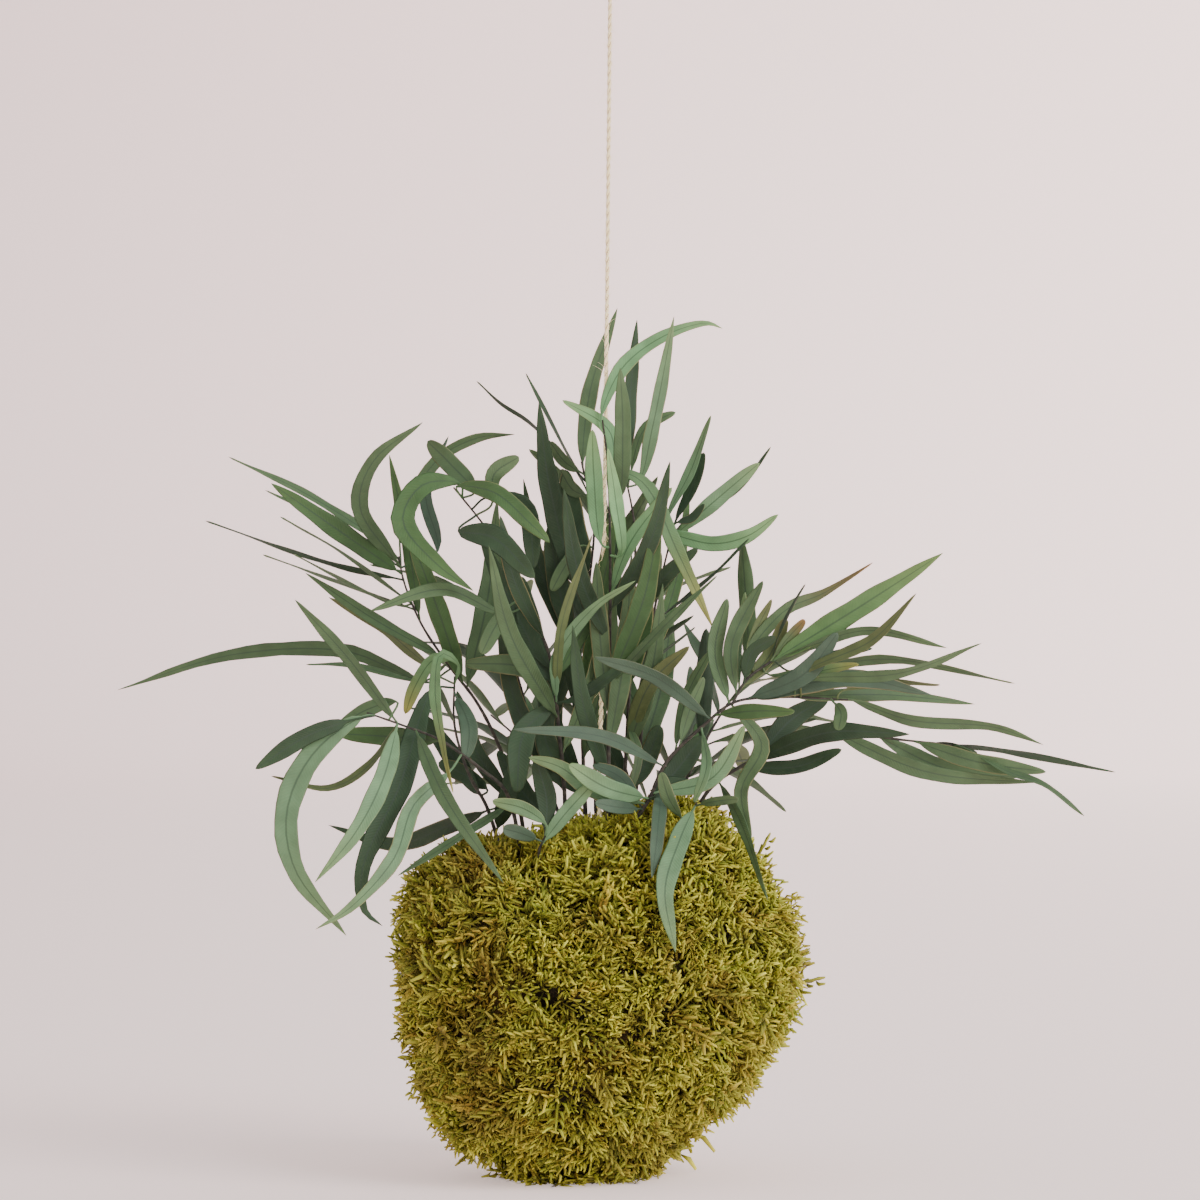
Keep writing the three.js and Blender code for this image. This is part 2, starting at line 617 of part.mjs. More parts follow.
function roundSection(radius, sides) {
  const corners = Array.from({ length: sides }, (_, corner) => {
    const angle = (corner / sides) * 2 * Math.PI;
    return new THREE.Vector2(radius * Math.cos(angle), radius * Math.sin(angle));
  });
  return new THREE.Shape(corners);
}

function tubeSolid(curve, radius, steps) {
  return solidOf(new THREE.ExtrudeGeometry(roundSection(radius, TWINE_SIDES), {
    steps, extrudePath: curve, bevelEnabled: false,
  }));
}

function twineCurve() {
  const middle = vec(TWINE_FOOT).lerp(vec(TWINE_HEAD), 0.5);
  middle.x += TWINE_BOW;
  return curveThrough([vec(TWINE_FOOT), middle, vec(TWINE_HEAD)]);
}

function twineSolid(grow = 0) {
  const curve = twineCurve();
  return tubeSolid(curve, TWINE_DIAMETER / 2 + grow, Math.round(curve.getLength() / TWINE_STEP));
}

// Loop tied at the head of the twine, its two ends sunk in the knot
function loopSolid() {
  const [x, y, z] = TWINE_HEAD;
  const knotZ = z + FIT_GAP + KNOT_RADIUS;
  const knot = new THREE.IcosahedronGeometry(KNOT_RADIUS, KNOT_DETAIL).translate(x, y, knotZ);
  const half = LOOP_WIDTH / 2;
  const path = curveThrough([
    [x - 0.9, y, knotZ], [x - half, y, knotZ + 0.6 * LOOP_HEIGHT], [x, y, knotZ + LOOP_HEIGHT],
    [x + half, y, knotZ + 0.6 * LOOP_HEIGHT], [x + 0.9, y, knotZ],
  ].map(vec));
  return solidOf(knot).add(tubeSolid(path, TWINE_DIAMETER / 2, LOOP_STEPS));
}

function stemsOf(spray, grow) {
  const [main, ...side] = spray.twigs;
  return side.reduce(
    (sum, twig) => sum.add(twigSolid(twig, TWIG_RADIUS, TWIG_RADIUS, grow)),
    twigSolid(main, STEM_RADIUS, STEM_END_RADIUS, grow),
  );
}

const touches = (first, second) => first.intersect(second).volume() > 0;

// The largest skin of a solid: hollows that crossing leaves seal are filled, and scraps dropped
function largestBody(solid) {
  const bodies = solid.simplify(SLIVER).decompose();
  return bodies.reduce((largest, body) => (body.volume() > largest.volume() ? body : largest));
}

// Adds a leaf to its spray, swung clear of everything else, or leaves it out where nothing is clear
function addLeaf(spray, makeLeaf, others) {
  for (const swing of SWINGS) {
    const leaf = makeLeaf(swing);
    const wide = bladeSolid(leaf, FIT_GAP);
    if (!others.some((other) => touches(wide, other.solid))) {
      spray.solid = spray.solid.add(bladeSolid(leaf));
      return;
    }
  }
}

const core = { solid: ballSolid(CORE_DETAIL, MOSS_THICKNESS, false) };
const coat = { solid: ballSolid(MOSS_DETAIL, 0, true) };
const cavity = ballSolid(CORE_DETAIL, MOSS_THICKNESS - CORE_GAP, false);
coat.solid = coat.solid.subtract(cavity);
const twine = { solid: twineSolid() };

const sprays = [
  ...SPRAYS,
  ...BACK_SPRAYS.map((spray) => ({ ...spray, twigs: [spray.stem] })),
].map((spray) => ({ ...spray, solid: stemsOf(spray, 0) }));

const holes = [twineSolid(FIT_GAP), ...sprays.map((spray) => stemsOf(spray, FIT_GAP))];
for (const hole of holes) {
  coat.solid = coat.solid.subtract(hole);
  core.solid = core.solid.subtract(hole);
}

const othersOf = (spray) => [coat, twine, ...sprays.filter((other) => other !== spray)];

sprays.forEach((spray, sprayIndex) => {
  const count = spray.leaves ? spray.leaves.length : spray.count;
  for (let index = 0; index < count; index += 1) {
    const seed = sprayIndex * 100 + index + 1;
    const makeLeaf = (swing) => (spray.leaves
      ? frontLeaf(spray.twigs, spray.leaves[index], seed, swing)
      : backLeaf(spray, index, seed, swing));
    addLeaf(spray, makeLeaf, othersOf(spray));
  }
});
sprays.forEach((spray, sprayIndex) => {
  const count = FILLERS[spray.name]?.count ?? 0;
  for (let index = 0; index < count; index += 1) {
    const seed = sprayIndex * 100 + FIRST_FILLER_SEED + index;
    addLeaf(spray, (swing) => fillerLeaf(spray, index, seed, swing), othersOf(spray));
  }
});

const group = new THREE.Group();
group.add(meshOf('core_ball', core.solid, 0x4a3526, 1));
group.add(meshOf('moss_coat', coat.solid, 0x8a8428, 1));
group.add(meshOf('twine', twine.solid, 0xd6c8aa, 0.9));
group.add(meshOf('twine_loop', loopSolid(), 0xd6c8aa, 0.9));
for (const spray of sprays) group.add(meshOf(spray.name, largestBody(spray.solid), 0x5f7860, 0.7));

export default group;
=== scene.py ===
# Kokedama: a ball of soil wrapped in moss, with sprays of preserved willow-leaved eucalyptus and a
# jute twine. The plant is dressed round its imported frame, whose solids keep their places.
from functools import partial

import bpy
import mathutils
import numpy as np
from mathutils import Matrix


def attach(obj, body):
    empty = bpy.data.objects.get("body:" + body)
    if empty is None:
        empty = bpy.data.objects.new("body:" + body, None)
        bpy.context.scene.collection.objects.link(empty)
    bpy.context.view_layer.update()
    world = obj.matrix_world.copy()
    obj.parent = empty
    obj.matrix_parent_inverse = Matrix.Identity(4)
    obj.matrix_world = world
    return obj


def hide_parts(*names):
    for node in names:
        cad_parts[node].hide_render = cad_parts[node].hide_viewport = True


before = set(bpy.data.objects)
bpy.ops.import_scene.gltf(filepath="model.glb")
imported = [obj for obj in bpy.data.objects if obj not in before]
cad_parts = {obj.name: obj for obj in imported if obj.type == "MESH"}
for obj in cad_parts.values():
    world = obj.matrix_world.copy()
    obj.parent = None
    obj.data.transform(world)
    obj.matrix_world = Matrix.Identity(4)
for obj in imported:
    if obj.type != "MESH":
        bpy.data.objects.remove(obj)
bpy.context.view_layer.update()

bl_info = {
    "name": "Kokedama",
    "version": (1, 0, 0),
    "blender": (4, 5, 0),
    "location": "View3D > Sidebar > Kokedama",
    "description": "Moss ball with eucalyptus sprays and a jute twine, on a plain pale stage",
    "category": "Add Mesh",
}

MM = 0.001
# Share of a curve's length that its tangents are taken over, to each side
TANGENT_REACH = 0.004

# Ball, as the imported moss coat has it: outline radius in mm every 15 degrees, from +X round through +Z
BALL_CENTRE_Z = 74
BALL_DEPTH_RADIUS = 79
BALL_OUTLINE = np.array([
    80, 82, 83, 83.5, 86, 78, 71, 66, 68, 83, 88, 83.5,
    79.5, 80.5, 82, 85, 79, 77, 75.5, 72, 68, 69, 71, 74,
])
MOSS_LUMP = 1.7
MOSS_LUMP_PITCH = 21
MOSS_TUFT = 1.3
MOSS_TUFT_PITCH = 9
MOSS_SHIFTS = (0.7, 2.1)
REST_CENTRE = (-8, 0)
REST_RADIUS = 22
REST_SHOULDER = 12
# How high the mat ends over the surface that the ball rests on
MAT_FLOOR = 3.0

# Moss mat: its grid round and up, and how far it lies below the roots of the fronds
MAT_GRID = (220, 112)
MAT_DROP = 2.5

# Moss fronds, their strands in shares of a frond's length. A pair is a least value and what is added
# to it, over the frond or by a random draw.
FROND_VARIANTS = 6
FROND_STEM_WIDTH = 0.074
FROND_RISE = 0.22
FROND_FALL = 0.34
STRAND_CORNERS = (0.58, 1.16)
STRAND_RING = 0.45
STRAND_END = 0.55
BRANCHLET_WIDTH = 0.08
BRANCHLET_PLACE = (0.12, 0.76)
BRANCHLET_LENGTH = 0.36
BRANCHLET_SWELL = (0.36, 0.38)
BRANCHLET_SHARE = (0.7, 0.55)
BRANCHLET_LEAN = (0.55, 0.65)
BRANCHLET_RISE = (-0.15, 1.1)
BRANCHLET_BEND = 0.12
BRANCHLET_ARCH = (0.16, -0.2)
BRANCHLET_ROOT_REACH = (0.1, 0.4)
BRANCHLET_TIP_REACH = (0.62, 0.38)
BRANCHLET_HIGH_REACH = (0.75, 0.25)
FROND_LENGTHS = (1.2, -0.45)
FROND_SIZES = (0.7, 1.1)
FROND_SHADES = (0.65, 1.25)
# Step between unit directions over which the surface's slope is taken
SURFACE_STEP = 0.03
PLACE_SCATTER = 0.008
HEADING_SCATTER = 1.1
ROLL_SCATTER = 0.8
PATCH_PITCH = 11
PATCH_TURN = 2.2
STRAY_SHARE = 0.03
STRAY_LENGTH = 1.45
FLOOR_GAP = 0.05

# Twine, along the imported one's route
TWINE_FOOT = (-0.7, -4, 122)
TWINE_HEAD = (4.1, -4, 476)
TWINE_BOW = 0.5
TWINE_DIAMETER = 1.7
PLY_SHARE = 0.7
# Where it leaves the moss
# Its knot is three turns, each tilted and raised from the last
KNOT_RADIUS = 2.6
KNOT_GAP = 0.35
KNOT_TURNS = 3
KNOT_INSET = 0.95
KNOT_TILT = 1.05
KNOT_RISE = 0.55
KNOT_FLATTENING = 0.9
KNOT_POINTS = 14
KNOT_FACING = np.array([0.3, -0.5, 0.8])
LOOP_HEIGHT = 21
LOOP_WIDTH = 11
# Half of how far apart the loop's ends are, and where it is widest as a share of its height
LOOP_MOUTH = 0.9
LOOP_WIDEST = 0.6
# A ply's thickness goes up and down by these shares of it, each at its own rate along the twine
PLY_FULLNESS = 1.1
PLY_UNEVEN, PLY_FINE_UNEVEN = 0.1, 0.06
PLY_RATE, PLY_FINE_RATE = 1.7, 4.1
PLY_STEP = 0.45
PLY_SIDES = 8
# A fibre springs from inside its ply, thins along its length and curls over past its middle
FIBRE_SEED = 5
FIBRE_RADIUS = 0.08
FIBRE_TAPER = 0.75
FIBRE_ROOT = 0.3
FIBRE_MIDDLE = 0.55
FIBRE_CURL = 0.8
FIBRE_LENGTHS = (2.0, 8.0)
FIBRE_PLACES = (0.03, 0.99)
FIBRE_SLANTS = (0.25, 1.1)

# Stems and leaves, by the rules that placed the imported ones
STEM_RADIUS = 1.0
STEM_END_RADIUS = 0.35
TWIG_RADIUS = 0.5
TWIG_SIDES = 8
TWIG_RINGS = 14
TWIG_NODE = 0.16
TWIG_NODE_PITCH = 2.1
ROOT_REACH = 0.97
ROOT_STEPS = 60
PETIOLE_GAP = 3
PETIOLE_WIDTH = 0.9
# Bare run of a stalk past the gap between a leaf's first point and its twig
PETIOLE_REACH = 2
# A stalk's thickness: its share at the blade's start, what it loses along the blade, and the least
PETIOLE_FADE = (1.4, 1.2)
PETIOLE_LEAST = 0.05
# A blade's outline: the powers of its opening at the base and of its closing at the tip. A short leaf
# closes bluntly and a long one runs out to a point.
BLADE_RISE = 0.5
BLUNT_FALL = 0.42
POINTED_FALL = 0.85
BLUNT_LENGTH = 30
POINTED_LENGTH = 85
BLADE_TWIST = 1.3
BLADE_SIDES = 12
BLADE_RINGS = 26
TIP_HALF_WIDTH = 0.06
TIP_HALF_THICKNESS = 0.05
MARGIN_WAVE = 0.05
MARGIN_WAVE_PITCH = 21
# Thickness of a section near its margins and what it gains towards the midrib, as shares
LENS = (0.45, 0.55)
# Brightness of a leaf by its draw, and where its tip's colour starts, over how much of the blade
TONE_SHADES = (0.86, 0.28)
TIP_TONE_START = 0.45
TIP_TONE_SPAN = 0.55
TIP_TONE_POWER = 1.5
# Blades this wide ripple in full, and none ripples less than the least share. The two margins ripple
# out of step by twice the shift.
RIPPLED_WIDTH = 8
LEAST_RIPPLE = 0.3
MARGIN_SHIFT = 1.3
# A blade that looks narrow has this share of its seen width and this much more
TURNED_SHARE = 0.55
TURNED_WIDTH = 3
DEPTH_SCATTER = 0.8
HANGING_DEPTH = 30
FRONT = np.array([0.0, -1.0, 0.0])
# Swings in depth that a leaf may have, in mm and in this order, and how near its tip then has to come
SWINGS = (0, -5, 5, -10, 10, -16, 16, -24, 24)
SWING_MATCH = 0.6

SPRAYS = {
    "spray_left_low": {
        "tones": "pdgoppmmm",
        "twigs": [[[-28, -12, 104], [-30, -14, 118], [-37, -20, 154], [-47, -22, 163.5],
            [-63, -25, 175], [-78, -27, 181], [-92, -28, 186]]],
        "leaves": [
            [10, -12, [-92, 185], [-112, 171], [-123, 148], [-120, 125], [-99.6, 98.6]],
            [7, 8, [-98, 183], [-115, 177], [-135.4, 164]],
            [8, 14, [-62, 174], [-85, 176], [-106, 177]],
            [3, -8, [-81, 181], [-91, 165], [-107, 156], [-129.6, 161]],
            [8, -14, [-79, 182], [-85, 160], [-95, 140], [-110.4, 121]],
            [7, -20, [-59, 163], [-73, 150], [-80, 130], [-97, 111], [-110, 103]],
            [6.5, -42, [-74, 178], [-60, 153], [-37.3, 121]],
            [6, 10, [-80, 190], [-92, 187], [-104, 180]],
            [5.5, 6, [-79, 182], [-99.7, 207.5], [-121, 230.5]],
        ],
    },
    "spray_left_middle": {
        "tones": "dmdyymbddd",
        "twigs": [[[-33, 2, 104], [-36, 2, 115], [-45, 0, 147], [-52, -2, 160], [-58, -4, 180],
            [-58, -6, 200]]],
        "leaves": [
            [7, 22, [-46, 146], [-62, 139], [-84, 131], [-111, 138.4]],
            [3.5, -34, [-38, 148], [-58, 135], [-79.5, 122]],
            [9.5, -22, [-66, 195], [-79, 157], [-93, 125], [-92, 109], [-85, 103]],
            [4.5, -8, [-56, 204], [-63, 209], [-65, 195], [-61, 170], [-57.7, 154.4]],
            [5.5, -10, [-57, 206], [-66, 207], [-74, 196], [-78, 184.8]],
            [3, 6, [-66, 200], [-62, 191], [-58, 182]],
            [7, -12, [-58, 193], [-52, 180], [-53, 167.5]],
            [7, 8, [-45, 154], [-54, 160], [-65, 165]],
            [8, -10, [-41, 138], [-37, 151], [-33, 167]],
            [8, 12, [-47, 151], [-60, 168], [-72, 184]],
        ],
    },
    "spray_left_high": {
        "tones": "mmmommdmmgmmmggbm",
        "twigs": [[[-24, 8, 104], [-28, 8, 118], [-33, 8, 150], [-42, 9, 175], [-50, 10, 190],
            [-60, 11, 203], [-72, 12, 221], [-79, 13, 238], [-81, 14, 248]]],
        "leaves": [
            [6, -12, [-70, 197], [-82, 201.5], [-103, 209.5], [-150, 208], [-198, 193.5]],
            [3.5, 4, [-68, 207], [-115, 213], [-137, 209.5]],
            [2.3, 10, [-70, 198], [-100, 204], [-118, 204.5]],
            [4.5, 8, [-66, 203], [-90, 220.5], [-110.5, 231.5]],
            [1.5, -6, [-77, 226], [-106, 238], [-137, 248.8]],
            [5, -6, [-64, 205], [-92, 223], [-119, 241.3]],
            [2, -10, [-78, 238], [-110, 245.7], [-160, 262.5]],
            [1.5, 12, [-80, 228], [-110, 242], [-124, 249]],
            [3.5, 6, [-82, 248], [-117, 272], [-151, 288.6]],
            [8, -8, [-82, 241], [-105, 258.5], [-131.4, 277]],
            [2, 16, [-82, 243], [-110, 262], [-137.4, 275.5]],
            [1.5, 2, [-78, 229], [-102, 249], [-127.4, 263.6]],
            [7, -6, [-80, 243], [-96, 268], [-90, 286], [-70.5, 301]],
            [5.5, -4, [-71.5, 222], [-77, 252], [-85, 289]],
            [8, -14, [-57, 197], [-65, 228], [-79, 266]],
            [5.5, 12, [-66, 250], [-71, 275], [-62, 297.5]],
            [5, 16, [-80, 262], [-66, 287], [-50, 296], [-34.5, 297.5]],
        ],
    },
    "spray_left_centre": {
        "tones": "gmmgddmmddmopdddd",
        "twigs": [[[-13, -6, 104], [-15, -6, 118], [-14, -8, 150], [-17, -10, 185], [-20, -11, 208],
            [-29, -13, 229], [-37, -15, 246], [-46, -17, 260], [-58, -20, 275]]],
        "leaves": [
            [9.5, -16, [-55, 276], [-70, 276], [-78, 262], [-65, 245], [-50, 234]],
            [8, 8, [-50, 273], [-60, 285], [-69, 294]],
            [6.5, 6, [-43, 268], [-42, 280], [-32, 287]],
            [7.5, -8, [-57, 275], [-42, 273], [-27, 260], [-19.8, 253]],
            [9.5, -14, [-56, 258], [-42, 255], [-25.5, 239]],
            [8, -4, [-45, 271], [-30, 267], [-26, 243]],
            [5.5, -10, [-38, 225], [-62, 234.5], [-91, 226]],
            [8, -4, [-15, 190], [-30, 203], [-54, 205]],
            [9, 8, [-20, 196], [-35, 228], [-48, 256]],
            [9, 2, [-20, 200], [-27, 217], [-32, 240]],
            [7, -8, [-36, 228], [-42, 219], [-47, 209]],
            [4, -10, [-19, 192], [-15, 222], [-3, 256]],
            [5, -14, [-17.5, 189], [-17, 208], [-2, 228], [14, 238]],
            [4.5, -16, [-17, 188], [-8, 192], [12, 206]],
            [10, -4, [-17, 190], [-30, 178], [-33, 154]],
            [9, 8, [-16, 188], [-22, 178], [-17, 162]],
            [8, 12, [-15, 139], [-28, 150], [-41, 170]],
        ],
    },
    "spray_centre_left": {
        "tones": "dmmddddmmd",
        "twigs": [[[-6, 10, 104], [-5, 10, 118], [-7, 8, 180], [-5, 7, 230], [-2.5, 6, 262],
            [-7.5, 6, 286]]],
        "leaves": [
            [9, -6, [-8, 235], [-20, 275], [-24.5, 310]],
            [5, 8, [-7, 282], [-14, 286], [-20, 294]],
            [5, 12, [-4, 271], [-11, 275], [-16, 283]],
            [1.5, 4, [-5, 272], [-18, 298], [-30, 322]],
            [1.3, -6, [-7, 278], [-28, 302], [-40, 310], [-50, 319]],
            [10, 2, [-4, 240], [-11, 262], [-14, 283]],
            [9, -10, [-10, 215], [-17, 238], [-20, 262]],
            [6, -12, [-8, 252], [-14, 244], [-19.5, 234]],
            [6.5, 4, [-7, 285], [-4, 315], [7, 348.5]],
            [8, 4, [-6, 150], [-16, 162], [-24, 178]],
        ],
    },
    "spray_centre_front": {
        "tones": "llllmylm",
        "twigs": [[[3, -12, 104], [3, -12, 118], [3.5, -12, 180], [4, -12, 250], [3, -12, 285],
            [1, -12, 302]]],
        "leaves": [
            [6, -14, [0.5, 303], [9, 323], [26, 336], [43, 341], [49, 339]],
            [6, -10, [5, 272], [4, 297], [-15, 310]],
            [7, -6, [1, 252], [-2.5, 281], [-3, 298]],
            [5.5, -12, [8, 248], [6, 270], [3, 290]],
            [7, -2, [7, 270], [9, 296], [8, 322]],
            [6.5, -18, [4, 282.5], [17, 277], [31, 249], [45, 219]],
            [6, -16, [2, 232], [12, 253], [28.5, 275]],
            [4, -10, [5, 197], [25, 219.5], [46, 240]],
        ],
    },
    "spray_centre_right": {
        "tones": "dpmmydmmodmd",
        "twigs": [[[8, 6, 104], [8, 6, 118], [11, 6, 180], [14, 5, 240], [13.6, 5, 262], [10, 5, 281]]],
        "leaves": [
            [6, 8, [10, 281], [11.5, 305], [15, 344]],
            [5.8, -4, [15, 277], [21, 300], [29.4, 343]],
            [4.5, -8, [12.5, 282], [18, 299], [30.4, 306]],
            [4, 10, [16, 264], [28, 290], [36.3, 306.4]],
            [5, -6, [15, 262], [32, 286], [40, 300], [38, 316.5]],
            [6, -4, [15, 222], [26, 240], [39, 251]],
            [5, 6, [14, 215], [20, 233], [24, 250]],
            [5, -8, [16, 225], [24, 235], [31, 243]],
            [7, -12, [9, 172], [20, 197], [35.5, 212]],
            [1.3, 4, [13, 199], [27, 211], [38.5, 219.5]],
            [4, -16, [11, 180], [15, 168], [11.5, 154]],
            [8, 4, [10, 152], [18, 164], [24, 180]],
        ],
    },
    "spray_right_tall": {
        "tones": "pdpddld",
        "twigs": [[[13, 16, 104], [12, 16, 118], [16, 16, 170], [20, 15, 215], [26, 14, 245],
            [30, 13, 260]]],
        "leaves": [
            [4, -4, [27, 262], [37, 283], [44.8, 305]],
            [4.5, 6, [30, 261], [37, 275], [42, 290]],
            [6.5, -8, [30, 256], [47, 271], [64, 285.4]],
            [3, 10, [34, 262], [58, 277], [69.8, 293]],
            [4, -2, [30, 261], [37, 263], [42, 268.8]],
            [6.5, -14, [25, 258], [45, 253], [59, 256], [71.3, 264.6]],
            [1.5, -6, [20, 222], [45, 240], [59.5, 255]],
        ],
    },
    "spray_right_main": {
        "tones": "mmpodottfdommmdbmobygmmbbpmppbmmpdbdb",
        "twigs": [[[9, -20, 104], [10, -21, 116], [12, -22, 138], [20, -24, 153], [26, -25, 166],
            [41, -26, 181], [53, -26, 190], [70, -25, 192], [98, -24, 191]], [[52, -26, 189],
            [58, -24, 199], [69, -21, 207]]],
        "leaves": [
            [6.5, 8, [49, 191], [45.5, 210], [50.5, 231]],
            [6.5, -4, [53, 193], [52, 212], [64.5, 238]],
            [2.5, 14, [54, 195], [56, 215], [58, 233.6]],
            [4, 10, [58, 206], [63, 220], [68.7, 230.7]],
            [6, -8, [54.5, 199], [60, 210], [69, 216]],
            [6, 4, [57, 194], [67, 208], [74, 223]],
            [4, -2, [66, 208], [73, 214], [81, 222.7]],
            [5, 16, [56, 203], [74, 226], [90, 233], [110, 245.5]],
            [9, 6, [70, 206], [100, 226], [135.6, 249]],
            [1.3, 12, [70, 214], [76, 227], [81.4, 236.7]],
            [4.5, -6, [80, 201], [107, 215], [123.3, 233]],
            [4, 14, [68, 206], [105, 218.5], [137, 211.5]],
            [4.5, -10, [78, 198], [118, 202], [149, 213.5]],
            [3.8, 2, [66, 201], [115, 207], [166, 197]],
            [3, 20, [76, 202], [92, 208], [109, 211]],
            [8, -12, [59, 192], [98, 199.5], [131, 193]],
            [5.5, -4, [75, 191], [115, 192.5], [149.6, 188.8]],
            [3, 8, [95, 194], [115, 198], [135, 196.7]],
            [8, -16, [58, 191], [80, 201], [93.5, 217.5]],
            [4, -18, [70, 197], [86, 202], [102, 205]],
            [6, -12, [45, 184], [60, 187], [76, 187]],
            [6, -6, [92, 192], [95, 186], [94, 179]],
            [4.8, -2, [99, 191], [123, 183], [157, 180], [175.8, 173]],
            [6, -14, [43, 184], [22, 200], [-2, 208]],
            [5.5, -16, [24, 166], [0, 177], [-34, 180]],
            [8, -14, [19, 153], [2, 157], [-12.3, 166]],
            [6.5, -10, [53, 187], [64, 173], [56, 155], [60, 136]],
            [4, -16, [41, 178], [42, 165], [37, 151]],
            [7, -20, [22, 154], [44, 160], [57, 181]],
            [6, -44, [19, 152], [23, 153], [22.5, 142], [20, 123]],
            [4.5, 6, [29, 170], [35, 193], [44, 210]],
            [5, -4, [31, 172], [35, 186], [41, 200]],
            [7, -8, [16, 150], [-3, 156], [-16, 165], [-28, 168.7]],
            [9, 6, [18, 151], [28, 160], [41, 176]],
            [5.5, 6, [17, 149], [8, 160], [-3, 165]],
            [6, 6, [17, 151], [26, 157], [37, 157]],
            [5, -14, [16, 149], [7, 149], [-2, 151]],
        ],
    },
    "spray_right_low": {
        "tones": "ddmmmddmdm",
        "twigs": [[[32, -2, 104], [34, -3, 118], [40, -4, 149], [47, -4, 158], [60, -4, 166],
            [80, -4, 177], [100, -3, 178], [117, -2, 175], [146, -1, 172]]],
        "leaves": [
            [8, -6, [62, 165], [90, 178], [122, 177.5]],
            [6, -12, [58, 163], [78, 164], [96, 171]],
            [6.5, 8, [92, 176], [130, 162], [173, 157.5]],
            [7, -8, [110.6, 174], [138, 163], [168, 159]],
            [7, -2, [125, 173], [150, 166], [177.4, 162]],
            [4, 6, [130, 174], [140, 172], [151, 169]],
            [2.8, 4, [136, 173], [163, 170], [207.7, 161]],
            [2.5, -4, [146, 171], [162, 162], [176, 157], [191.4, 145]],
            [9, 8, [62, 168], [78, 183], [92, 191]],
            [4, -36, [46, 158], [56, 142], [65.6, 113]],
        ],
    },
    "spray_front_right": {
        "tones": "pmm",
        "twigs": [[[24, -25, 106], [27, -31, 122], [32, -38, 140], [38, -41, 151]]],
        "leaves": [
            [8.5, -38, [38, 151], [31, 137], [25, 118], [29, 95]],
            [4, -6, [37, 150], [45, 152], [54, 153]],
            [5, -6, [33, 143], [27, 153], [24, 163]],
        ],
    },
    "spray_front_low": {
        "tones": "ppbd",
        "twigs": [[[-21, -23, 105], [-22, -27, 118], [-24, -34, 131], [-21, -38, 139]]],
        "leaves": [
            [6, -8, [-21, 142], [-30, 149], [-42, 152]],
            [6.5, -10, [-24, 134], [-14, 146], [-2, 159]],
            [6, -8, [-24, 136], [-31, 139], [-38, 141]],
            [8, 8, [-22, 138], [-21, 152], [-25, 168]],
        ],
    },
}

# Upright leaves that fill the middle: each spray's count, and how far their tips stand behind the stem
FILLERS = {
    "spray_left_high": (2, 10),
    "spray_left_centre": (5, -12),
    "spray_centre_left": (6, 6),
    "spray_centre_front": (6, -14),
    "spray_centre_right": (5, 4),
    "spray_right_tall": (4, 10),
}
# Many fillers take the dark tone d, partly painted shade in the dense middle
FILLER_TONES = "dmmgddbm"
# Seeds run on in each spray, from its own hundred
SPRAY_SEEDS = 100
FIRST_FILLER_SEED = 50
FILLER_FIRST = 0.27
FILLER_LAST = 0.61
FILLER_LEAN = (3, 27)
FILLER_RISE = (48, 80)
FILLER_WIDTH = (5.5, 9.5)
# How much of its lean a filler has by half way
FILLER_BEND = 0.7

# The sprays behind, whose leaves follow a rule
BACK_SPRAYS = {
    "spray_back_left": (9, 62, [
        [-14, 24, 104], [-16, 30, 118], [-24, 42, 160], [-34, 54, 200], [-42, 62, 226]]),
    "spray_back_middle": (9, 64, [
        [2, 28, 104], [0, 34, 118], [-2, 44, 170], [2, 54, 222], [6, 60, 258]]),
    "spray_back_right": (9, 58, [
        [18, 26, 104], [22, 31, 118], [34, 42, 154], [50, 54, 184], [64, 62, 202]]),
    "spray_back_low_left": (8, 56, [
        [-7, 34, 104], [-10, 44, 118], [-20, 64, 150], [-34, 86, 172], [-46, 106, 182]]),
    "spray_back_low_right": (8, 56, [
        [9, 34, 104], [12, 44, 118], [22, 64, 148], [38, 86, 166], [56, 104, 174]]),
}
BACK_TONES = "mdgbmdmo"
BACK_FIRST = 0.45
BACK_SPREAD = 0.8
BACK_DROOP = 0.14
BACK_WIDTH = 7.5
BACK_FACING = np.array([0.1, 0.35, 0.93])
BACK_LENGTHS = (0.8, 0.4)
# A swing turns a back leaf round its stem, at this distance in mm
BACK_SWING_REACH = 16
GOLDEN_ANGLE = np.pi * (3 - np.sqrt(5))

# Stage, in metres: the paper's floor, corner and wall, half the width over which it fades, and lights
FLOOR_RADIUS = 4.6
CORNER_RADIUS = 1.2
WALL_HEIGHT = 2.4
INNER_RADIUS = 0.001
SECOND_RADIUS = 0.3
FLOOR_RINGS = 12
CORNER_RINGS = 16
PAPER_DROP = 0.0002
PAPER_TURNS = 96
PAPER_FADE = 1.1
PAPER_GLOW = (0.12, 1.1)
SKY_COLOUR = "#FBF6F4"
SKY_STRENGTH = 0.74
SUNS = (("key sun", (0.72, -0.62, 0.6), 2.5), ("fill sun", (-0.75, -0.5, 0.45), 0.15))
SUN_ANGLE = 0.6

# Leaf tones: colour of the blade and of its tip
LEAF_TONES = {
    "p": ("#668B66", "#739061"),
    "m": ("#4D6747", "#556D4A"),
    # The dark tone is partly the leaf's own colour and partly painted shade, given to leaves that stand
    # in shadow
    "d": ("#2F4530", "#374E35"),
    "g": ("#41613A", "#4E6E40"),
    "f": ("#5C8350", "#6C8A50"),
    "b": ("#445B4A", "#4E6452"),
    "o": ("#566640", "#646A42"),
    "l": ("#6C9C6C", "#7CA068"),
    "y": ("#62875C", "#A3A254"),
    "t": ("#566C4A", "#82633A"),
}


def linear(code):
    """Linear RGBA of an sRGB hex colour: each channel is brought down by the sRGB curve."""
    channels = np.array([int(code[i:i + 2], 16) for i in (1, 3, 5)]) / 255
    low = channels / 12.92
    high = ((channels + 0.055) / 1.055) ** 2.4
    return (*np.where(channels <= 0.04045, low, high).tolist(), 1.0)


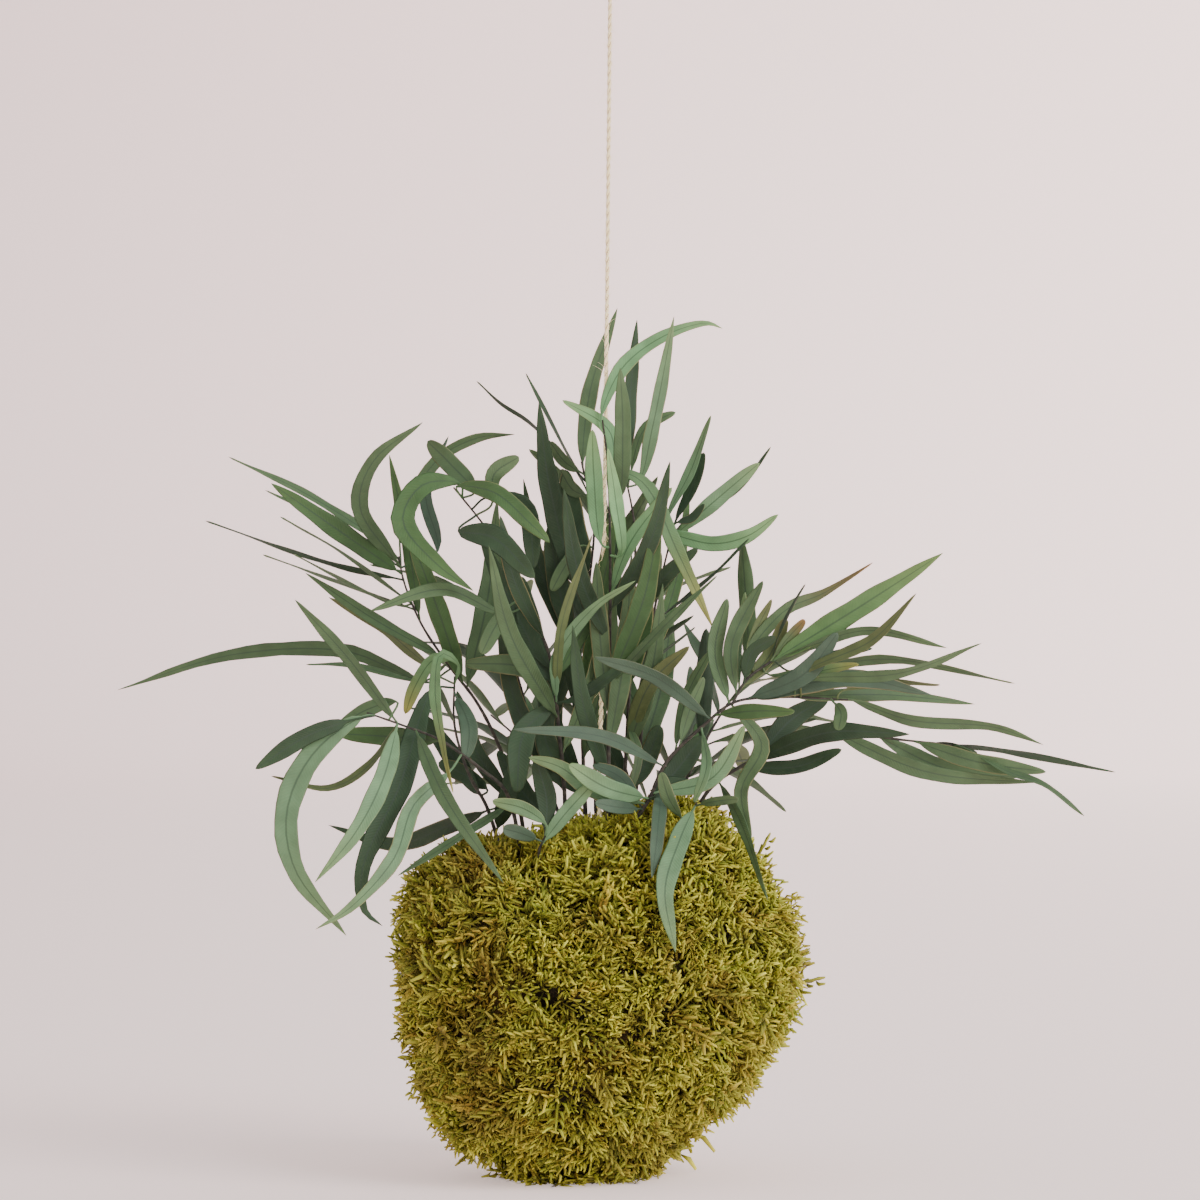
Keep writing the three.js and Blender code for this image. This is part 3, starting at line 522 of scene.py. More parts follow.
def scatter(number):
    """A repeatable value from 0 to 1 for a number: the fraction of a large sine. Callers add another
    fraction to a leaf's seed for each value that they draw."""
    value = np.sin(number * 12.9898) * 43758.5453
    return value - np.floor(value)


def drawn(ends, draw):
    """The value that a draw from 0 to 1 gives: the least value, and a share of what is added to it."""
    least, added = ends
    return least + added * draw


def unit(vectors):
    """Vectors divided by their own lengths."""
    return vectors / np.linalg.norm(vectors, axis=-1, keepdims=True)


def set_inputs(node, inputs):
    """Sets a node's inputs, each by its place or identifier: a socket is linked, and any other value is
    set on the input itself."""
    for key, value in inputs.items():
        socket = next(one for index, one in enumerate(node.inputs) if key in (index, one.identifier))
        if isinstance(value, bpy.types.NodeSocket):
            node.id_data.links.new(value, socket)
        else:
            socket.default_value = value


def add_node(tree, kind, *ordered, inputs=None, out=0, **settings):
    """Adds one shader node and returns one of its outputs, by its place or identifier. Inputs are given
    in their order, or by identifier, and settings are the node's own properties. A MapRange thus takes
    its value, the two ends that it comes from and the two that it goes to."""
    node = tree.nodes.new("ShaderNode" + kind)
    for name, value in settings.items():
        setattr(node, name, value)
    set_inputs(node, dict(enumerate(ordered)) | (inputs or {}))
    return next(one for index, one in enumerate(node.outputs) if out in (index, one.identifier))


def set_stops(ramp, *stops):
    """Gives a colour ramp its stops, each a position and an sRGB hex colour, from low to high."""
    elements = ramp.node.color_ramp.elements
    while len(elements) < len(stops):
        elements.new(0.5)
    for element, (position, code) in zip(elements, stops):
        element.position = position
        element.color = linear(code)


def new_material(name):
    """A material with only its Principled shader and output, what adds a node to it, and the shader."""
    material = bpy.data.materials.new(name)
    material.use_nodes = True
    tree = material.node_tree
    tree.nodes.clear()
    shader = tree.nodes.new("ShaderNodeBsdfPrincipled")
    output = tree.nodes.new("ShaderNodeOutputMaterial")
    tree.links.new(shader.outputs["BSDF"], output.inputs["Surface"])
    return material, partial(add_node, tree), shader


def curve_points(points, per_span=24):
    """Points along the centripetal Catmull-Rom curve through the given ones, and their distances
    along it.

    Each span is the cubic that leaves and reaches its ends with slopes taken from both neighbours,
    weighed by the square root of the distances. Past an end, the neighbour is mirrored."""
    points = np.asarray(points, float)
    chain = np.vstack([2 * points[0] - points[1], points, 2 * points[-1] - points[-2]])
    gaps = np.sqrt(np.linalg.norm(np.diff(chain, axis=0), axis=1))
    t = np.linspace(0, 1, per_span, endpoint=False)[:, None]
    spans = []
    for index in range(len(points) - 1):
        x0, x1, x2, x3 = chain[index:index + 4]
        d0, d1, d2 = gaps[index:index + 3]
        leave = ((x1 - x0) / d0 - (x2 - x0) / (d0 + d1) + (x2 - x1) / d1) * d1
        reach = ((x2 - x1) / d1 - (x3 - x1) / (d1 + d2) + (x3 - x2) / d2) * d1
        cubic = 2 * x1 - 2 * x2 + leave + reach
        square = -3 * x1 + 3 * x2 - 2 * leave - reach
        spans.append(x1 + leave * t + square * t ** 2 + cubic * t ** 3)
    path = np.vstack([*spans, points[-1:]])
    lengths = np.concatenate([[0], np.cumsum(np.linalg.norm(np.diff(path, axis=0), axis=1))])
    return path, lengths


def along_curve(points, stations):
    """Places and unit tangents at stations from 0 to 1 of a curve's length."""
    path, lengths = curve_points(points)
    at = np.asarray(stations, float) * lengths[-1]
    place = np.stack([np.interp(at, lengths, path[:, axis]) for axis in range(3)], axis=-1)
    step = lengths[-1] * TANGENT_REACH
    ahead = np.clip(at + step, 0, lengths[-1])
    behind = np.clip(at - step, 0, lengths[-1])
    tangent = np.stack([
        np.interp(ahead, lengths, path[:, axis]) - np.interp(behind, lengths, path[:, axis])
        for axis in range(3)
    ], axis=-1)
    return place, unit(tangent)


def frames_across(tangents, facing):
    """For each tangent, the facing direction made square to it, and the side direction."""
    normal = unit(facing - (tangents @ facing)[:, None] * tangents)
    return normal, unit(np.cross(normal, tangents))


class Skin:
    """A growing mesh in millimetres: vertices, quads, triangles and values kept on the vertices."""

    def __init__(self):
        self.vertices, self.quads, self.triangles, self.values = [], [], [], {}
        self.count = 0

    def add(self, vertices, quads=None, triangles=None, **values):
        """Adds one part: its faces count from its own first vertex."""
        for name, value in values.items():
            value = np.asarray(value, float)
            shape = (len(vertices), *value.shape[1:]) if value.ndim else (len(vertices),)
            self.values.setdefault(name, []).append(np.broadcast_to(value, shape))
        if quads is not None:
            self.quads.append(quads + self.count)
        if triangles is not None:
            self.triangles.append(triangles + self.count)
        self.vertices.append(vertices)
        self.count += len(vertices)

    def add_tube(self, rings, **values):
        """Adds a closed tube over rings[i, j], point j of ring i: quads join neighbours, and a fan to
        a middle point closes each end. Values are given per ring point, and an end takes its ring's
        mean."""
        count, sides = rings.shape[:2]
        middle = np.stack([rings[0].mean(0), rings[-1].mean(0)])
        vertices = np.vstack([rings.reshape(-1, 3), middle])
        ring, side = np.meshgrid(np.arange(count - 1), np.arange(sides), indexing="ij")
        a = ring * sides + side
        b = ring * sides + (side + 1) % sides
        quads = np.stack([a, b, b + sides, a + sides], axis=-1).reshape(-1, 4)
        here = np.arange(sides)
        there = (here + 1) % sides
        first = np.full(sides, count * sides)
        last = (count - 1) * sides
        triangles = np.vstack([
            np.stack([first, there, here], axis=-1),
            np.stack([last + here, last + there, first + 1], axis=-1),
        ])
        full = {}
        for name, value in values.items():
            value = np.broadcast_to(value, (count, sides, *np.shape(value)[2:]))
            ends = np.stack([value[0].mean(0), value[-1].mean(0)])
            full[name] = np.concatenate([value.reshape(count * sides, *value.shape[2:]), ends])
        self.add(vertices, quads, triangles, **full)

    def piece(self, name, material, slot, replaces):
        """Makes the Blender object in metres, with each kept value as an attribute of its name."""
        vertices = np.vstack(self.vertices) * MM
        quads = np.vstack(self.quads) if self.quads else np.zeros((0, 4), int)
        triangles = np.vstack(self.triangles) if self.triangles else np.zeros((0, 3), int)
        loops = np.concatenate([quads.ravel(), triangles.ravel()])
        totals = np.concatenate([np.full(len(quads), 4), np.full(len(triangles), 3)])
        starts = np.concatenate([[0], np.cumsum(totals)[:-1]])
        mesh = bpy.data.meshes.new(name)
        mesh.vertices.add(len(vertices))
        mesh.vertices.foreach_set("co", vertices.ravel())
        mesh.loops.add(len(loops))
        mesh.loops.foreach_set("vertex_index", loops)
        mesh.polygons.add(len(totals))
        mesh.polygons.foreach_set("loop_start", starts)
        mesh.polygons.foreach_set("loop_total", totals)
        mesh.update(calc_edges=True)
        mesh.polygons.foreach_set("use_smooth", np.ones(len(totals), bool))
        for key, parts in self.values.items():
            value = np.concatenate(parts)
            if value.ndim == 1:
                mesh.attributes.new(key, "FLOAT", "POINT").data.foreach_set("value", value)
            else:
                colours = mesh.attributes.new(key, "FLOAT_COLOR", "POINT")
                colours.data.foreach_set("color", value.ravel())
        mesh.materials.append(material)
        piece = bpy.data.objects.new(name, mesh)
        bpy.context.scene.collection.objects.link(piece)
        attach(piece, "root")
        if replaces:
            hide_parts(replaces)
        return piece


# Leaves

def root_near(twigs, base):
    """The point of the twigs nearest to a leaf's base as seen from the front, and the distance."""
    stations = ROOT_REACH * np.arange(ROOT_STEPS + 1) / ROOT_STEPS
    places = np.vstack([along_curve(twig, stations)[0] for twig in twigs])
    gaps = np.hypot(places[:, 0] - base[0], places[:, 2] - base[1])
    nearest = int(np.argmin(gaps))
    return places[nearest], gaps[nearest]


def front_leaf(twigs, row, seed, swing):
    """Path and shape of a leaf that is written as seen from the front.

    In depth it springs away from its root with the sine of a quarter turn over its length, and a
    random spread is added unless the leaf hangs over the ball. A blade that looks narrow is a wider
    one turned partly edge on."""
    width, depth, *seen = row
    root, gap = root_near(twigs, seen[0])
    flat = seen if gap > PETIOLE_GAP else seen[1:]
    chain = np.array([[root[0], root[2]], *flat], float)
    lengths = np.concatenate([[0], np.cumsum(np.linalg.norm(np.diff(chain, axis=0), axis=1))])
    total = lengths[-1]
    hangs = abs(depth) > HANGING_DEPTH
    spread = 0 if hangs else (scatter(seed + 0.25) - 0.5) * DEPTH_SCATTER * total
    away = np.sin(lengths / total * np.pi / 2)
    points = np.stack([chain[:, 0], root[1] + (depth + spread + swing) * away, chain[:, 1]], axis=-1)
    full = max(width, TURNED_SHARE * width + TURNED_WIDTH)
    return {
        "points": points,
        "start": (gap + PETIOLE_REACH if gap > PETIOLE_GAP else PETIOLE_GAP) / total,
        "width": full,
        "turn": np.arccos(width / full) * (-1 if scatter(seed) < 0.5 else 1),
        "twist": (scatter(seed + 0.5) - 0.5) * BLADE_TWIST,
        "facing": FRONT,
    }


def filler_leaf(twigs, filler, index, seed, swing):
    """Path and shape of an upright leaf that fills the middle: fillers lean left and right by turns as
    they climb the stem, by random amounts."""
    count, depth = filler
    lean, rise, width = (
        low + (high - low) * scatter(seed + shift)
        for (low, high), shift in ((FILLER_LEAN, 0.3), (FILLER_RISE, 0.6), (FILLER_WIDTH, 0.4))
    )
    lean *= 1 if index % 2 else -1
    along = FILLER_FIRST + (FILLER_LAST - FILLER_FIRST) * index / (count - 1)
    x, _, z = along_curve(twigs[0], [along])[0][0]
    row = [width, depth, [x, z], [x + FILLER_BEND * lean, z + rise / 2], [x + lean, z + rise]]
    return front_leaf(twigs, row, seed, swing)


def back_leaf(count, size, stem, index, seed, swing):
    """Path and shape of a leaf of the back sprays.

    Leaves leave the stem at one angle, each a golden angle round from the last, and droop."""
    along = BACK_FIRST + (ROOT_REACH - BACK_FIRST) * index / (count - 1)
    place, tangent = along_curve(stem, [along])
    normal, side = frames_across(tangent, FRONT)
    turn = index * GOLDEN_ANGLE + swing / BACK_SWING_REACH
    direction = (
        tangent[0] * np.cos(BACK_SPREAD)
        + side[0] * np.sin(BACK_SPREAD) * np.cos(turn)
        + normal[0] * np.sin(BACK_SPREAD) * np.sin(turn)
    )
    length = size * drawn(BACK_LENGTHS, scatter(seed))
    tip = place[0] + direction * length - np.array([0, 0, BACK_DROOP * length])
    return {
        "points": np.array([place[0], place[0] + direction * length / 2, tip]),
        "start": PETIOLE_GAP / length,
        "width": BACK_WIDTH,
        "turn": 0,
        "twist": (scatter(seed + 0.5) - 0.5) * BLADE_TWIST,
        "facing": BACK_FACING,
    }


def as_packed(make_leaf, corners):
    """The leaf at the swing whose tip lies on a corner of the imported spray, or None where that spray
    has no such leaf."""
    for swing in SWINGS:
        leaf = make_leaf(swing)
        if np.linalg.norm(corners - leaf["points"][-1], axis=1).min() < SWING_MATCH:
            return leaf
    return None


def blade_profile(along, length):
    """Width of a blade from 0 to 1 along it, 1 at the widest: a power of the way from its base times a
    power of the way to its tip."""
    share = np.clip((length - BLUNT_LENGTH) / (POINTED_LENGTH - BLUNT_LENGTH), 0, 1)
    fall = BLUNT_FALL + (POINTED_FALL - BLUNT_FALL) * share * share * (3 - 2 * share)
    peak = BLADE_RISE / (BLADE_RISE + fall)
    top = peak ** BLADE_RISE * (1 - peak) ** fall
    return np.clip(along, 0, 1) ** BLADE_RISE * np.clip(1 - along, 0, 1) ** fall / top


def add_blade(skin, leaf, seed, tone, settings):
    """Adds one blade to a skin.

    Rings stand closer at both ends. A section runs round the blade: across goes as the cosine of the
    angle, and the height is a lens whose thickness fades to the margins, lifted in a V from the midrib
    and rippled along the margins by a sine that grows with the square of the distance across."""
    shape = (BLADE_RINGS, BLADE_SIDES)
    even = np.linspace(0, 1, BLADE_RINGS)
    along = (1 - np.cos(np.linspace(0, np.pi, BLADE_RINGS))) / 2 * 0.5 + even * 0.5
    centre, tangent = along_curve(leaf["points"], along)
    normal, side = frames_across(tangent, leaf["facing"])
    angle = (leaf["turn"] + leaf["twist"] * (along - 0.5))[:, None]
    up = normal * np.cos(angle) + side * np.sin(angle)
    out = side * np.cos(angle) - normal * np.sin(angle)
    on_blade = (along - leaf["start"]) / (1 - leaf["start"])
    length = curve_points(leaf["points"])[1][-1]
    blade = leaf["width"] * blade_profile(on_blade, length)
    turns = along * length / MARGIN_WAVE_PITCH + scatter(seed + 2.1)
    uneven = 1 + MARGIN_WAVE * np.sin(2 * np.pi * turns)
    stalk = np.clip(PETIOLE_FADE[0] - on_blade * PETIOLE_FADE[1], PETIOLE_LEAST, 1)
    half = np.maximum(blade * uneven, PETIOLE_WIDTH * stalk) / 2
    half[-1] = TIP_HALF_WIDTH
    openness = np.clip(blade / leaf["width"] * 2, 0, 1)
    around = np.linspace(0, 2 * np.pi, BLADE_SIDES, endpoint=False)
    across = np.cos(around)[None, :]
    thick = (PETIOLE_WIDTH / 2) * (1 - openness) + settings.thickness / MM / 2 * openness
    thick[-1] = TIP_HALF_THICKNESS
    lens = np.sin(around)[None, :] * thick[:, None] * drawn(LENS, np.abs(np.sin(around)))[None, :]
    fold = settings.fold * np.abs(across) * half[:, None] * openness[:, None]
    phase = 2 * np.pi * (along[:, None] * length / (settings.ripple_pitch / MM) + scatter(seed + 0.7))
    ripple = settings.ripple / MM * across ** 2 * np.sin(phase + MARGIN_SHIFT * np.sign(across))
    ripple = ripple * openness[:, None] * np.clip(leaf["width"] / RIPPLED_WIDTH, LEAST_RIPPLE, 1)
    rise = lens + fold + ripple
    rings = (
        centre[:, None] + out[:, None] * (across * half[:, None])[..., None]
        + up[:, None] * rise[..., None]
    )
    start, end = (np.array(linear(code)) for code in LEAF_TONES[tone])
    vary = drawn(TONE_SHADES, scatter(seed + 0.9))
    share = np.clip((on_blade - TIP_TONE_START) / TIP_TONE_SPAN, 0, 1)
    mix = share[:, None, None] ** TIP_TONE_POWER
    colour = (start * (1 - mix) + end * mix) * np.array([vary, vary, vary * 0.98, 1])
    skin.add_tube(
        rings,
        tone=np.broadcast_to(colour, (*shape, 4)),
        across=np.broadcast_to(across, shape),
        along=np.broadcast_to((on_blade * length)[:, None], shape),
        dry=np.full(shape, scatter(seed + 1.7)),
    )


def circle_across(one, other, sides):
    """Unit circles round a path, of a number of sides, from two square directions at each place."""
    around = np.linspace(0, 2 * np.pi, sides, endpoint=False)[None, :, None]
    return one[:, None] * np.cos(around) + other[:, None] * np.sin(around)


def add_twig(skin, points, radius, end_radius, seed):
    """Adds one stem: a tapering tube that swells a little where leaves leave it."""
    along = np.linspace(0, 1, TWIG_RINGS * len(points))
    centre, tangent = along_curve(points, along)
    normal, side = frames_across(tangent, FRONT)
    length = curve_points(points)[1][-1]
    swell = np.clip(np.sin(along * length / TWIG_NODE_PITCH + seed), 0, 1) ** 6
    reach = (radius + (end_radius - radius) * along) * (1 + TWIG_NODE * swell)
    circle = circle_across(side, normal, TWIG_SIDES)
    skin.add_tube(centre[:, None] + circle * reach[:, None, None])


def leaf_material():
    """Glycerine-preserved eucalyptus leaf: matte and slightly waxy, its green greyed by the preserving.

    The midrib is a thin dark line, faint side veins run forward to a vein near the margin, and the
    margins of the drier leaves go tan."""
    material, node, shader = new_material("preserved eucalyptus leaf")
    tone = node("Attribute", attribute_name="tone")
    across, along, dry = (
        node("Attribute", out="Fac", attribute_name=name) for name in ("across", "along", "dry"))
    place = node("TexCoord", out="Object")
    blotch = node("TexNoise", inputs={"Vector": place, "Scale": 140, "Detail": 3})
    shade = node("MapRange", blotch, 0.3, 0.7, 0.84, 1.12)
    colour = node("VectorMath", tone, shade, operation="MULTIPLY")
    away = node("Math", across, operation="ABSOLUTE")
    # Side veins leave the midrib forward, about one a millimetre and a half
    slant = node("Math", away, -4, operation="MULTIPLY")
    run = node("Math", slant, along, operation="ADD")
    turn = node("Math", run, 4.2, operation="MULTIPLY")
    wave = node("Math", turn, operation="SINE")
    veins = node("MapRange", wave, 0.75, 1, 0, 0.16)
    # The vein near the margin is the top of a ramp that goes up and down again
    margin = node("MapRange", away, 0.78, 0.84, 0, 1)
    line = node("Math", margin, 0.5, operation="PINGPONG")
    edge = node("Math", line, 0.35, operation="MULTIPLY")
    rib = node("MapRange", away, 0.03, 0.12, 0.65, 0)
    rim = node("MapRange", away, 0.86, 1, 0, 1)
    dried = node("MapRange", dry, 0.55, 1, 0, 0.8)
    tan = node("Math", rim, dried, operation="MULTIPLY")
    for code, cover in (("#3F5444", veins), ("#4A5F4D", edge), ("#34453A", rib), ("#A89C6C", tan)):
        layers = {"Factor_Float": cover, "A_Color": colour, "B_Color": linear(code)}
        colour = node("Mix", inputs=layers, out="Result_Color", data_type="RGBA")
    set_inputs(shader, {
        "Base Color": colour,
        "Roughness": node("MapRange", blotch, 0.3, 0.7, 0.5, 0.68),
        "Normal": node("Bump", inputs={"Height": wave, "Strength": 0.12, "Distance": 0.0002}),
        "IOR": 1.42,
        "Specular IOR Level": 0.35,
    })
    return material


def stem_material():
    """Young eucalyptus bark, dyed dark by the preserving: fine lengthwise cracks, dull."""
    material, node, shader = new_material("dark eucalyptus bark")
    place = node("TexCoord", out="Object")
    grain = node("TexNoise", inputs={"Vector": place, "Scale": 420, "Detail": 4})
    ramp = node("ValToRGB", grain)
    set_stops(ramp, (0.35, "#1E1F1B"), (0.75, "#48463C"))
    set_inputs(shader, {
        "Base Color": ramp,
        "Roughness": 0.75,
        "Normal": node("Bump", inputs={"Height": grain, "Strength": 0.5, "Distance": 0.0003}),
    })
    return material


def dress_spray(name, twigs, leaves, bark, green, settings):
    """Makes the leaves and the stems of one spray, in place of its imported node.

    leaves holds (make_leaf, seed, tone) for each leaf."""
    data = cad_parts[name].data
    corners = np.zeros(len(data.vertices) * 3)
    data.vertices.foreach_get("co", corners)
    corners = corners.reshape(-1, 3) / MM
    blades = Skin()
    for make_leaf, seed, tone in leaves:
        leaf = as_packed(make_leaf, corners)
        if leaf is not None:
            add_blade(blades, leaf, seed, tone, settings)
    blades.piece(name + "_leaves", green, "leaf", name)
    stems = Skin()
    for index, twig in enumerate(twigs):
        radii = (STEM_RADIUS, STEM_END_RADIUS) if index == 0 else (TWIG_RADIUS, TWIG_RADIUS)
        add_twig(stems, twig, *radii, index)
    stems.piece(name + "_stems", bark, "leaf", name)


# Moss

def ball_radius(direction):
    """Radius of the ball in unit directions: its front outline, blended by a half cosine between the
    listed angles, and the depth radius towards the front and back."""
    count = len(BALL_OUTLINE)
    turn = np.arctan2(direction[..., 2], direction[..., 0]) / (2 * np.pi) * count + count
    index = np.floor(turn).astype(int)
    blend = (1 - np.cos((turn - index) * np.pi)) / 2
    start = BALL_OUTLINE[index % count]
    outline = start + (BALL_OUTLINE[(index + 1) % count] - start) * blend
    share = direction[..., 1] ** 2
    return outline * (1 - share) + BALL_DEPTH_RADIUS * share


def moss_relief(point):
    """Moss relief at points: products of sines, broad lumps with smaller tufts on them."""
    def wave(pitch, shift):
        scale = 2 * np.pi / pitch
        flat = np.sin(point[..., 0] * scale + shift) * np.sin(point[..., 1] * scale + 2 * shift)
        return flat + np.sin(point[..., 2] * scale - shift)
    lumps = MOSS_LUMP * wave(MOSS_LUMP_PITCH, MOSS_SHIFTS[0]) / 2
    return lumps + MOSS_TUFT * wave(MOSS_TUFT_PITCH, MOSS_SHIFTS[1]) / 2


def moss_surface(direction, inset):
    """Points of the moss surface in unit directions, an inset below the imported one, pressed flat
    round the spot that it rests on."""
    point = direction * (ball_radius(direction) - inset)[..., None]
    length = np.linalg.norm(point, axis=-1, keepdims=True)
    point = point * (1 + moss_relief(point)[..., None] / length)
    point[..., 2] += BALL_CENTRE_Z
    away = np.hypot(point[..., 0] - REST_CENTRE[0], point[..., 1] - REST_CENTRE[1])
    ease = np.clip((away - REST_RADIUS) / REST_SHOULDER, 0, 1)
    lifted = ease * ease * (3 - 2 * ease)
    pressed = MAT_FLOOR + (np.maximum(point[..., 2], MAT_FLOOR) - MAT_FLOOR) * lifted
    point[..., 2] = np.where(point[..., 2] < BALL_CENTRE_Z, pressed, point[..., 2])
    return point


def sphere_directions(count):
    """Unit directions spread evenly over a sphere on a golden-angle spiral."""
    index = np.arange(count) + 0.5
    height = 1 - 2 * index / count
    turn = index * GOLDEN_ANGLE
    ring = np.sqrt(1 - height ** 2)
    return np.stack([ring * np.cos(turn), ring * np.sin(turn), height], axis=-1)


def frond_template(pairs, variant):
    """One moss frond along +X, of length 1, flat side to +Z: vertices, quads, triangles and how far
    each vertex is from the frond's root towards the tips of its branchlets.

    The stem arches over. Branchlets leave it in pairs, forward at a slant, and are longest a third of
    the way up. A variant scatters their slants, lengths and rises."""
    vertices, quads, triangles, reach = [], [], [], []

    def strand(start, end, width, low, high, bend):
        """A three-sided strand: a point at the root, a ring bent aside, and a narrower closed end."""
        start, end = np.array(start), np.array(end)
        axis = unit(end - start)
        side = unit(np.cross([0, 0, 1.0], axis))
        top = np.cross(axis, side)
        low_edge, peak = STRAND_CORNERS
        corners = np.array([side - low_edge * top, peak * top, -side - low_edge * top]) * width / 2
        first = len(vertices)
        vertices.extend([start, *(start + (end - start) * STRAND_RING + bend + corners)])
        vertices.extend(end + STRAND_END * corners)
        reach.extend([low, *[(low + high) / 2] * 3, *[high] * 3])
        for corner in range(3):
            here = first + 1 + corner
            there = first + 1 + (corner + 1) % 3
            triangles.append([first, there, here])
            quads.append([here, there, there + 3, here + 3])
        triangles.append([first + 4, first + 5, first + 6])

    def stem_point(along):
        """The stem's arch: a rise, and a fall with the square of the way along."""
        return (along, 0.0, FROND_RISE * along - FROND_FALL * along ** 2)

    strand(stem_point(0.0), stem_point(1.0), FROND_STEM_WIDTH, 0.0, 0.8, np.array([0, 0, 0.05]))
    for pair in range(pairs):
        share = pair / (pairs - 1)
        along = drawn(BRANCHLET_PLACE, share)
        full = BRANCHLET_LENGTH * np.sin(np.pi * drawn(BRANCHLET_SWELL, share))
        root = np.array(stem_point(along))
        for side in (-1, 1):
            seeds = variant * 7.3 + pair * 2.3 + side, variant * 3.1 + pair * 5.7 - side
            draw = scatter(seeds[0]), scatter(seeds[1])
            lean = drawn(BRANCHLET_LEAN, draw[0])
            length = full * drawn(BRANCHLET_SHARE, draw[1])
            rise = drawn(BRANCHLET_RISE, draw[0] * draw[1])
            tip = root + np.array([np.cos(lean), side * np.sin(lean), rise]) * length
            aside = [-BRANCHLET_BEND, side * BRANCHLET_BEND, drawn(BRANCHLET_ARCH, draw[0])]
            bend = np.array(aside) * length
            high = drawn(BRANCHLET_TIP_REACH, draw[1]) * drawn(BRANCHLET_HIGH_REACH, along)
            strand(root, tip, BRANCHLET_WIDTH, drawn(BRANCHLET_ROOT_REACH, along), high, bend)
    return np.array(vertices), np.array(quads), np.array(triangles), np.array(reach)


def surface_frames(direction, inset):
    """Surface points, outward normals and a tangent, from small steps over the surface."""
    helper = np.where(np.abs(direction[:, 2:]) > 0.9, [[1.0, 0, 0]], [[0, 0, 1.0]])
    first = unit(np.cross(helper, direction))
    second = np.cross(direction, first)
    point = moss_surface(direction, inset)
    along_first = moss_surface(unit(direction + SURFACE_STEP * first), inset) - point
    along_second = moss_surface(unit(direction + SURFACE_STEP * second), inset) - point
    normal = unit(np.cross(along_first, along_second))
    normal = np.where((normal * direction).sum(-1, keepdims=True) < 0, -normal, normal)
    tangent = unit(along_first - (along_first * normal).sum(-1, keepdims=True) * normal)
    return point, normal, tangent


def add_fronds(skin, chosen, variant, settings, inset, random):
    """Adds a frond at each chosen direction: each leans out of the moss at its own angle, and is scaled
    and rolled at random. Headings scatter about a wave of the place, so that neighbours lie alike in
    patches, and steep fronds are shorter. Vertices stay above the surface that the ball rests on."""
    point, normal, tangent = surface_frames(chosen, inset)
    count = len(point)
    x, y, z = (point / PATCH_PITCH).T
    patch = PATCH_TURN * np.sin(x + 1.3 * np.sin(y)) + PATCH_TURN * np.sin(z + 0.8 * np.cos(x) + y)
    heading = (patch + random.normal(0, HEADING_SCATTER, count))[:, None]
    steep = random.uniform(0, 1, count)[:, None]
    lean = settings.lean_low + (settings.lean_high - settings.lean_low) * steep
    roll = random.normal(0, ROLL_SCATTER, count)[:, None]
    flat = tangent * np.cos(heading) + np.cross(normal, tangent) * np.sin(heading)
    axis = flat * np.cos(lean) + normal * np.sin(lean)
    face = normal * np.cos(lean) - flat * np.sin(lean)
    side = np.cross(face, axis)
    face, side = face * np.cos(roll) + side * np.sin(roll), side * np.cos(roll) - face * np.sin(roll)
    stray = np.where(random.uniform(0, 1, count) < STRAY_SHARE, STRAY_LENGTH, 1.0)
    size = settings.length / MM * drawn(FROND_LENGTHS, steep[:, 0])
    size = size * random.uniform(*FROND_SIZES, count) * stray
    vertices, quads, triangles, reach = frond_template(settings.pairs, variant)
    basis = np.stack([axis, side, face], axis=1) * size[:, None, None]
    placed = np.einsum("vi,nij->nvj", vertices, basis) + point[:, None]
    placed[..., 2] = np.maximum(placed[..., 2], FLOOR_GAP)
    draw, shade = random.uniform(0, 1, count), random.uniform(*FROND_SHADES, count)
    first = (np.arange(count) * len(vertices))[:, None, None]
    skin.add(
        placed.reshape(-1, 3), (first + quads).reshape(-1, 4), (first + triangles).reshape(-1, 3),
        reach=np.tile(reach, count),
        draw=np.repeat(draw, len(vertices)), shade=np.repeat(shade, len(vertices)),
    )


def moss_material():
    """Dried and dyed sheet moss: dull, dark brown-green down in the mat and golden green at the tips
    of the fronds. The dark down in the mat is partly the moss's own colour and partly painted shade
    among the fronds. Brown patches a few centimetres across, more of them towards -X. Some fronds
    are golden and some greener, and each has its own shade."""
    material, node, shader = new_material("preserved sheet moss")
    reach, draw, shade = (
        node("Attribute", out="Fac", attribute_name=name) for name in ("reach", "draw", "shade"))
    place = node("TexCoord", out="Object")
    # Dark at the roots and golden at the tips: the dark end is partly painted shade down among the
    # fronds
    colour = node("ValToRGB", reach)
    set_stops(colour, (0, "#241D0C"), (0.3, "#665A1B"), (0.62, "#9DA034"), (1, "#E4E85E"))
    patch = node("TexNoise", inputs={"Vector": place, "Scale": 30, "Detail": 3})
    sideways = node("SeparateXYZ", place)
    # Brown patches grow more common towards -X
    browner_towards_minus_x = node("MapRange", sideways, -0.08, 0.05, 0.07, -0.03)
    browner = node("Math", patch, browner_towards_minus_x, operation="ADD")
    brown = node("MapRange", browner, 0.49, 0.72, 0, 0.62)
    gold = node("MapRange", draw, 0.6, 1, 0, 0.3)
    green = node("MapRange", draw, 0, 0.35, 0.4, 0)
    for code, cover in (("#80672C", brown), ("#BC9A3A", gold), ("#75901F", green)):
        layers = {"Factor_Float": cover, "A_Color": colour, "B_Color": linear(code)}
        colour = node("Mix", inputs=layers, out="Result_Color", data_type="RGBA")
    set_inputs(shader, {
        "Base Color": node("VectorMath", colour, shade, operation="MULTIPLY"),
        "Roughness": 0.8,
        "Specular IOR Level": 0.3,
    })
    return material


# Twine

def twine_route():
    """The twine's centreline: up from the hole in the moss, with a slight bow, to its knot."""
    foot, head = np.array(TWINE_FOOT), np.array(TWINE_HEAD)
    return np.array([foot, (foot + head) / 2 + [TWINE_BOW, 0, 0], head])


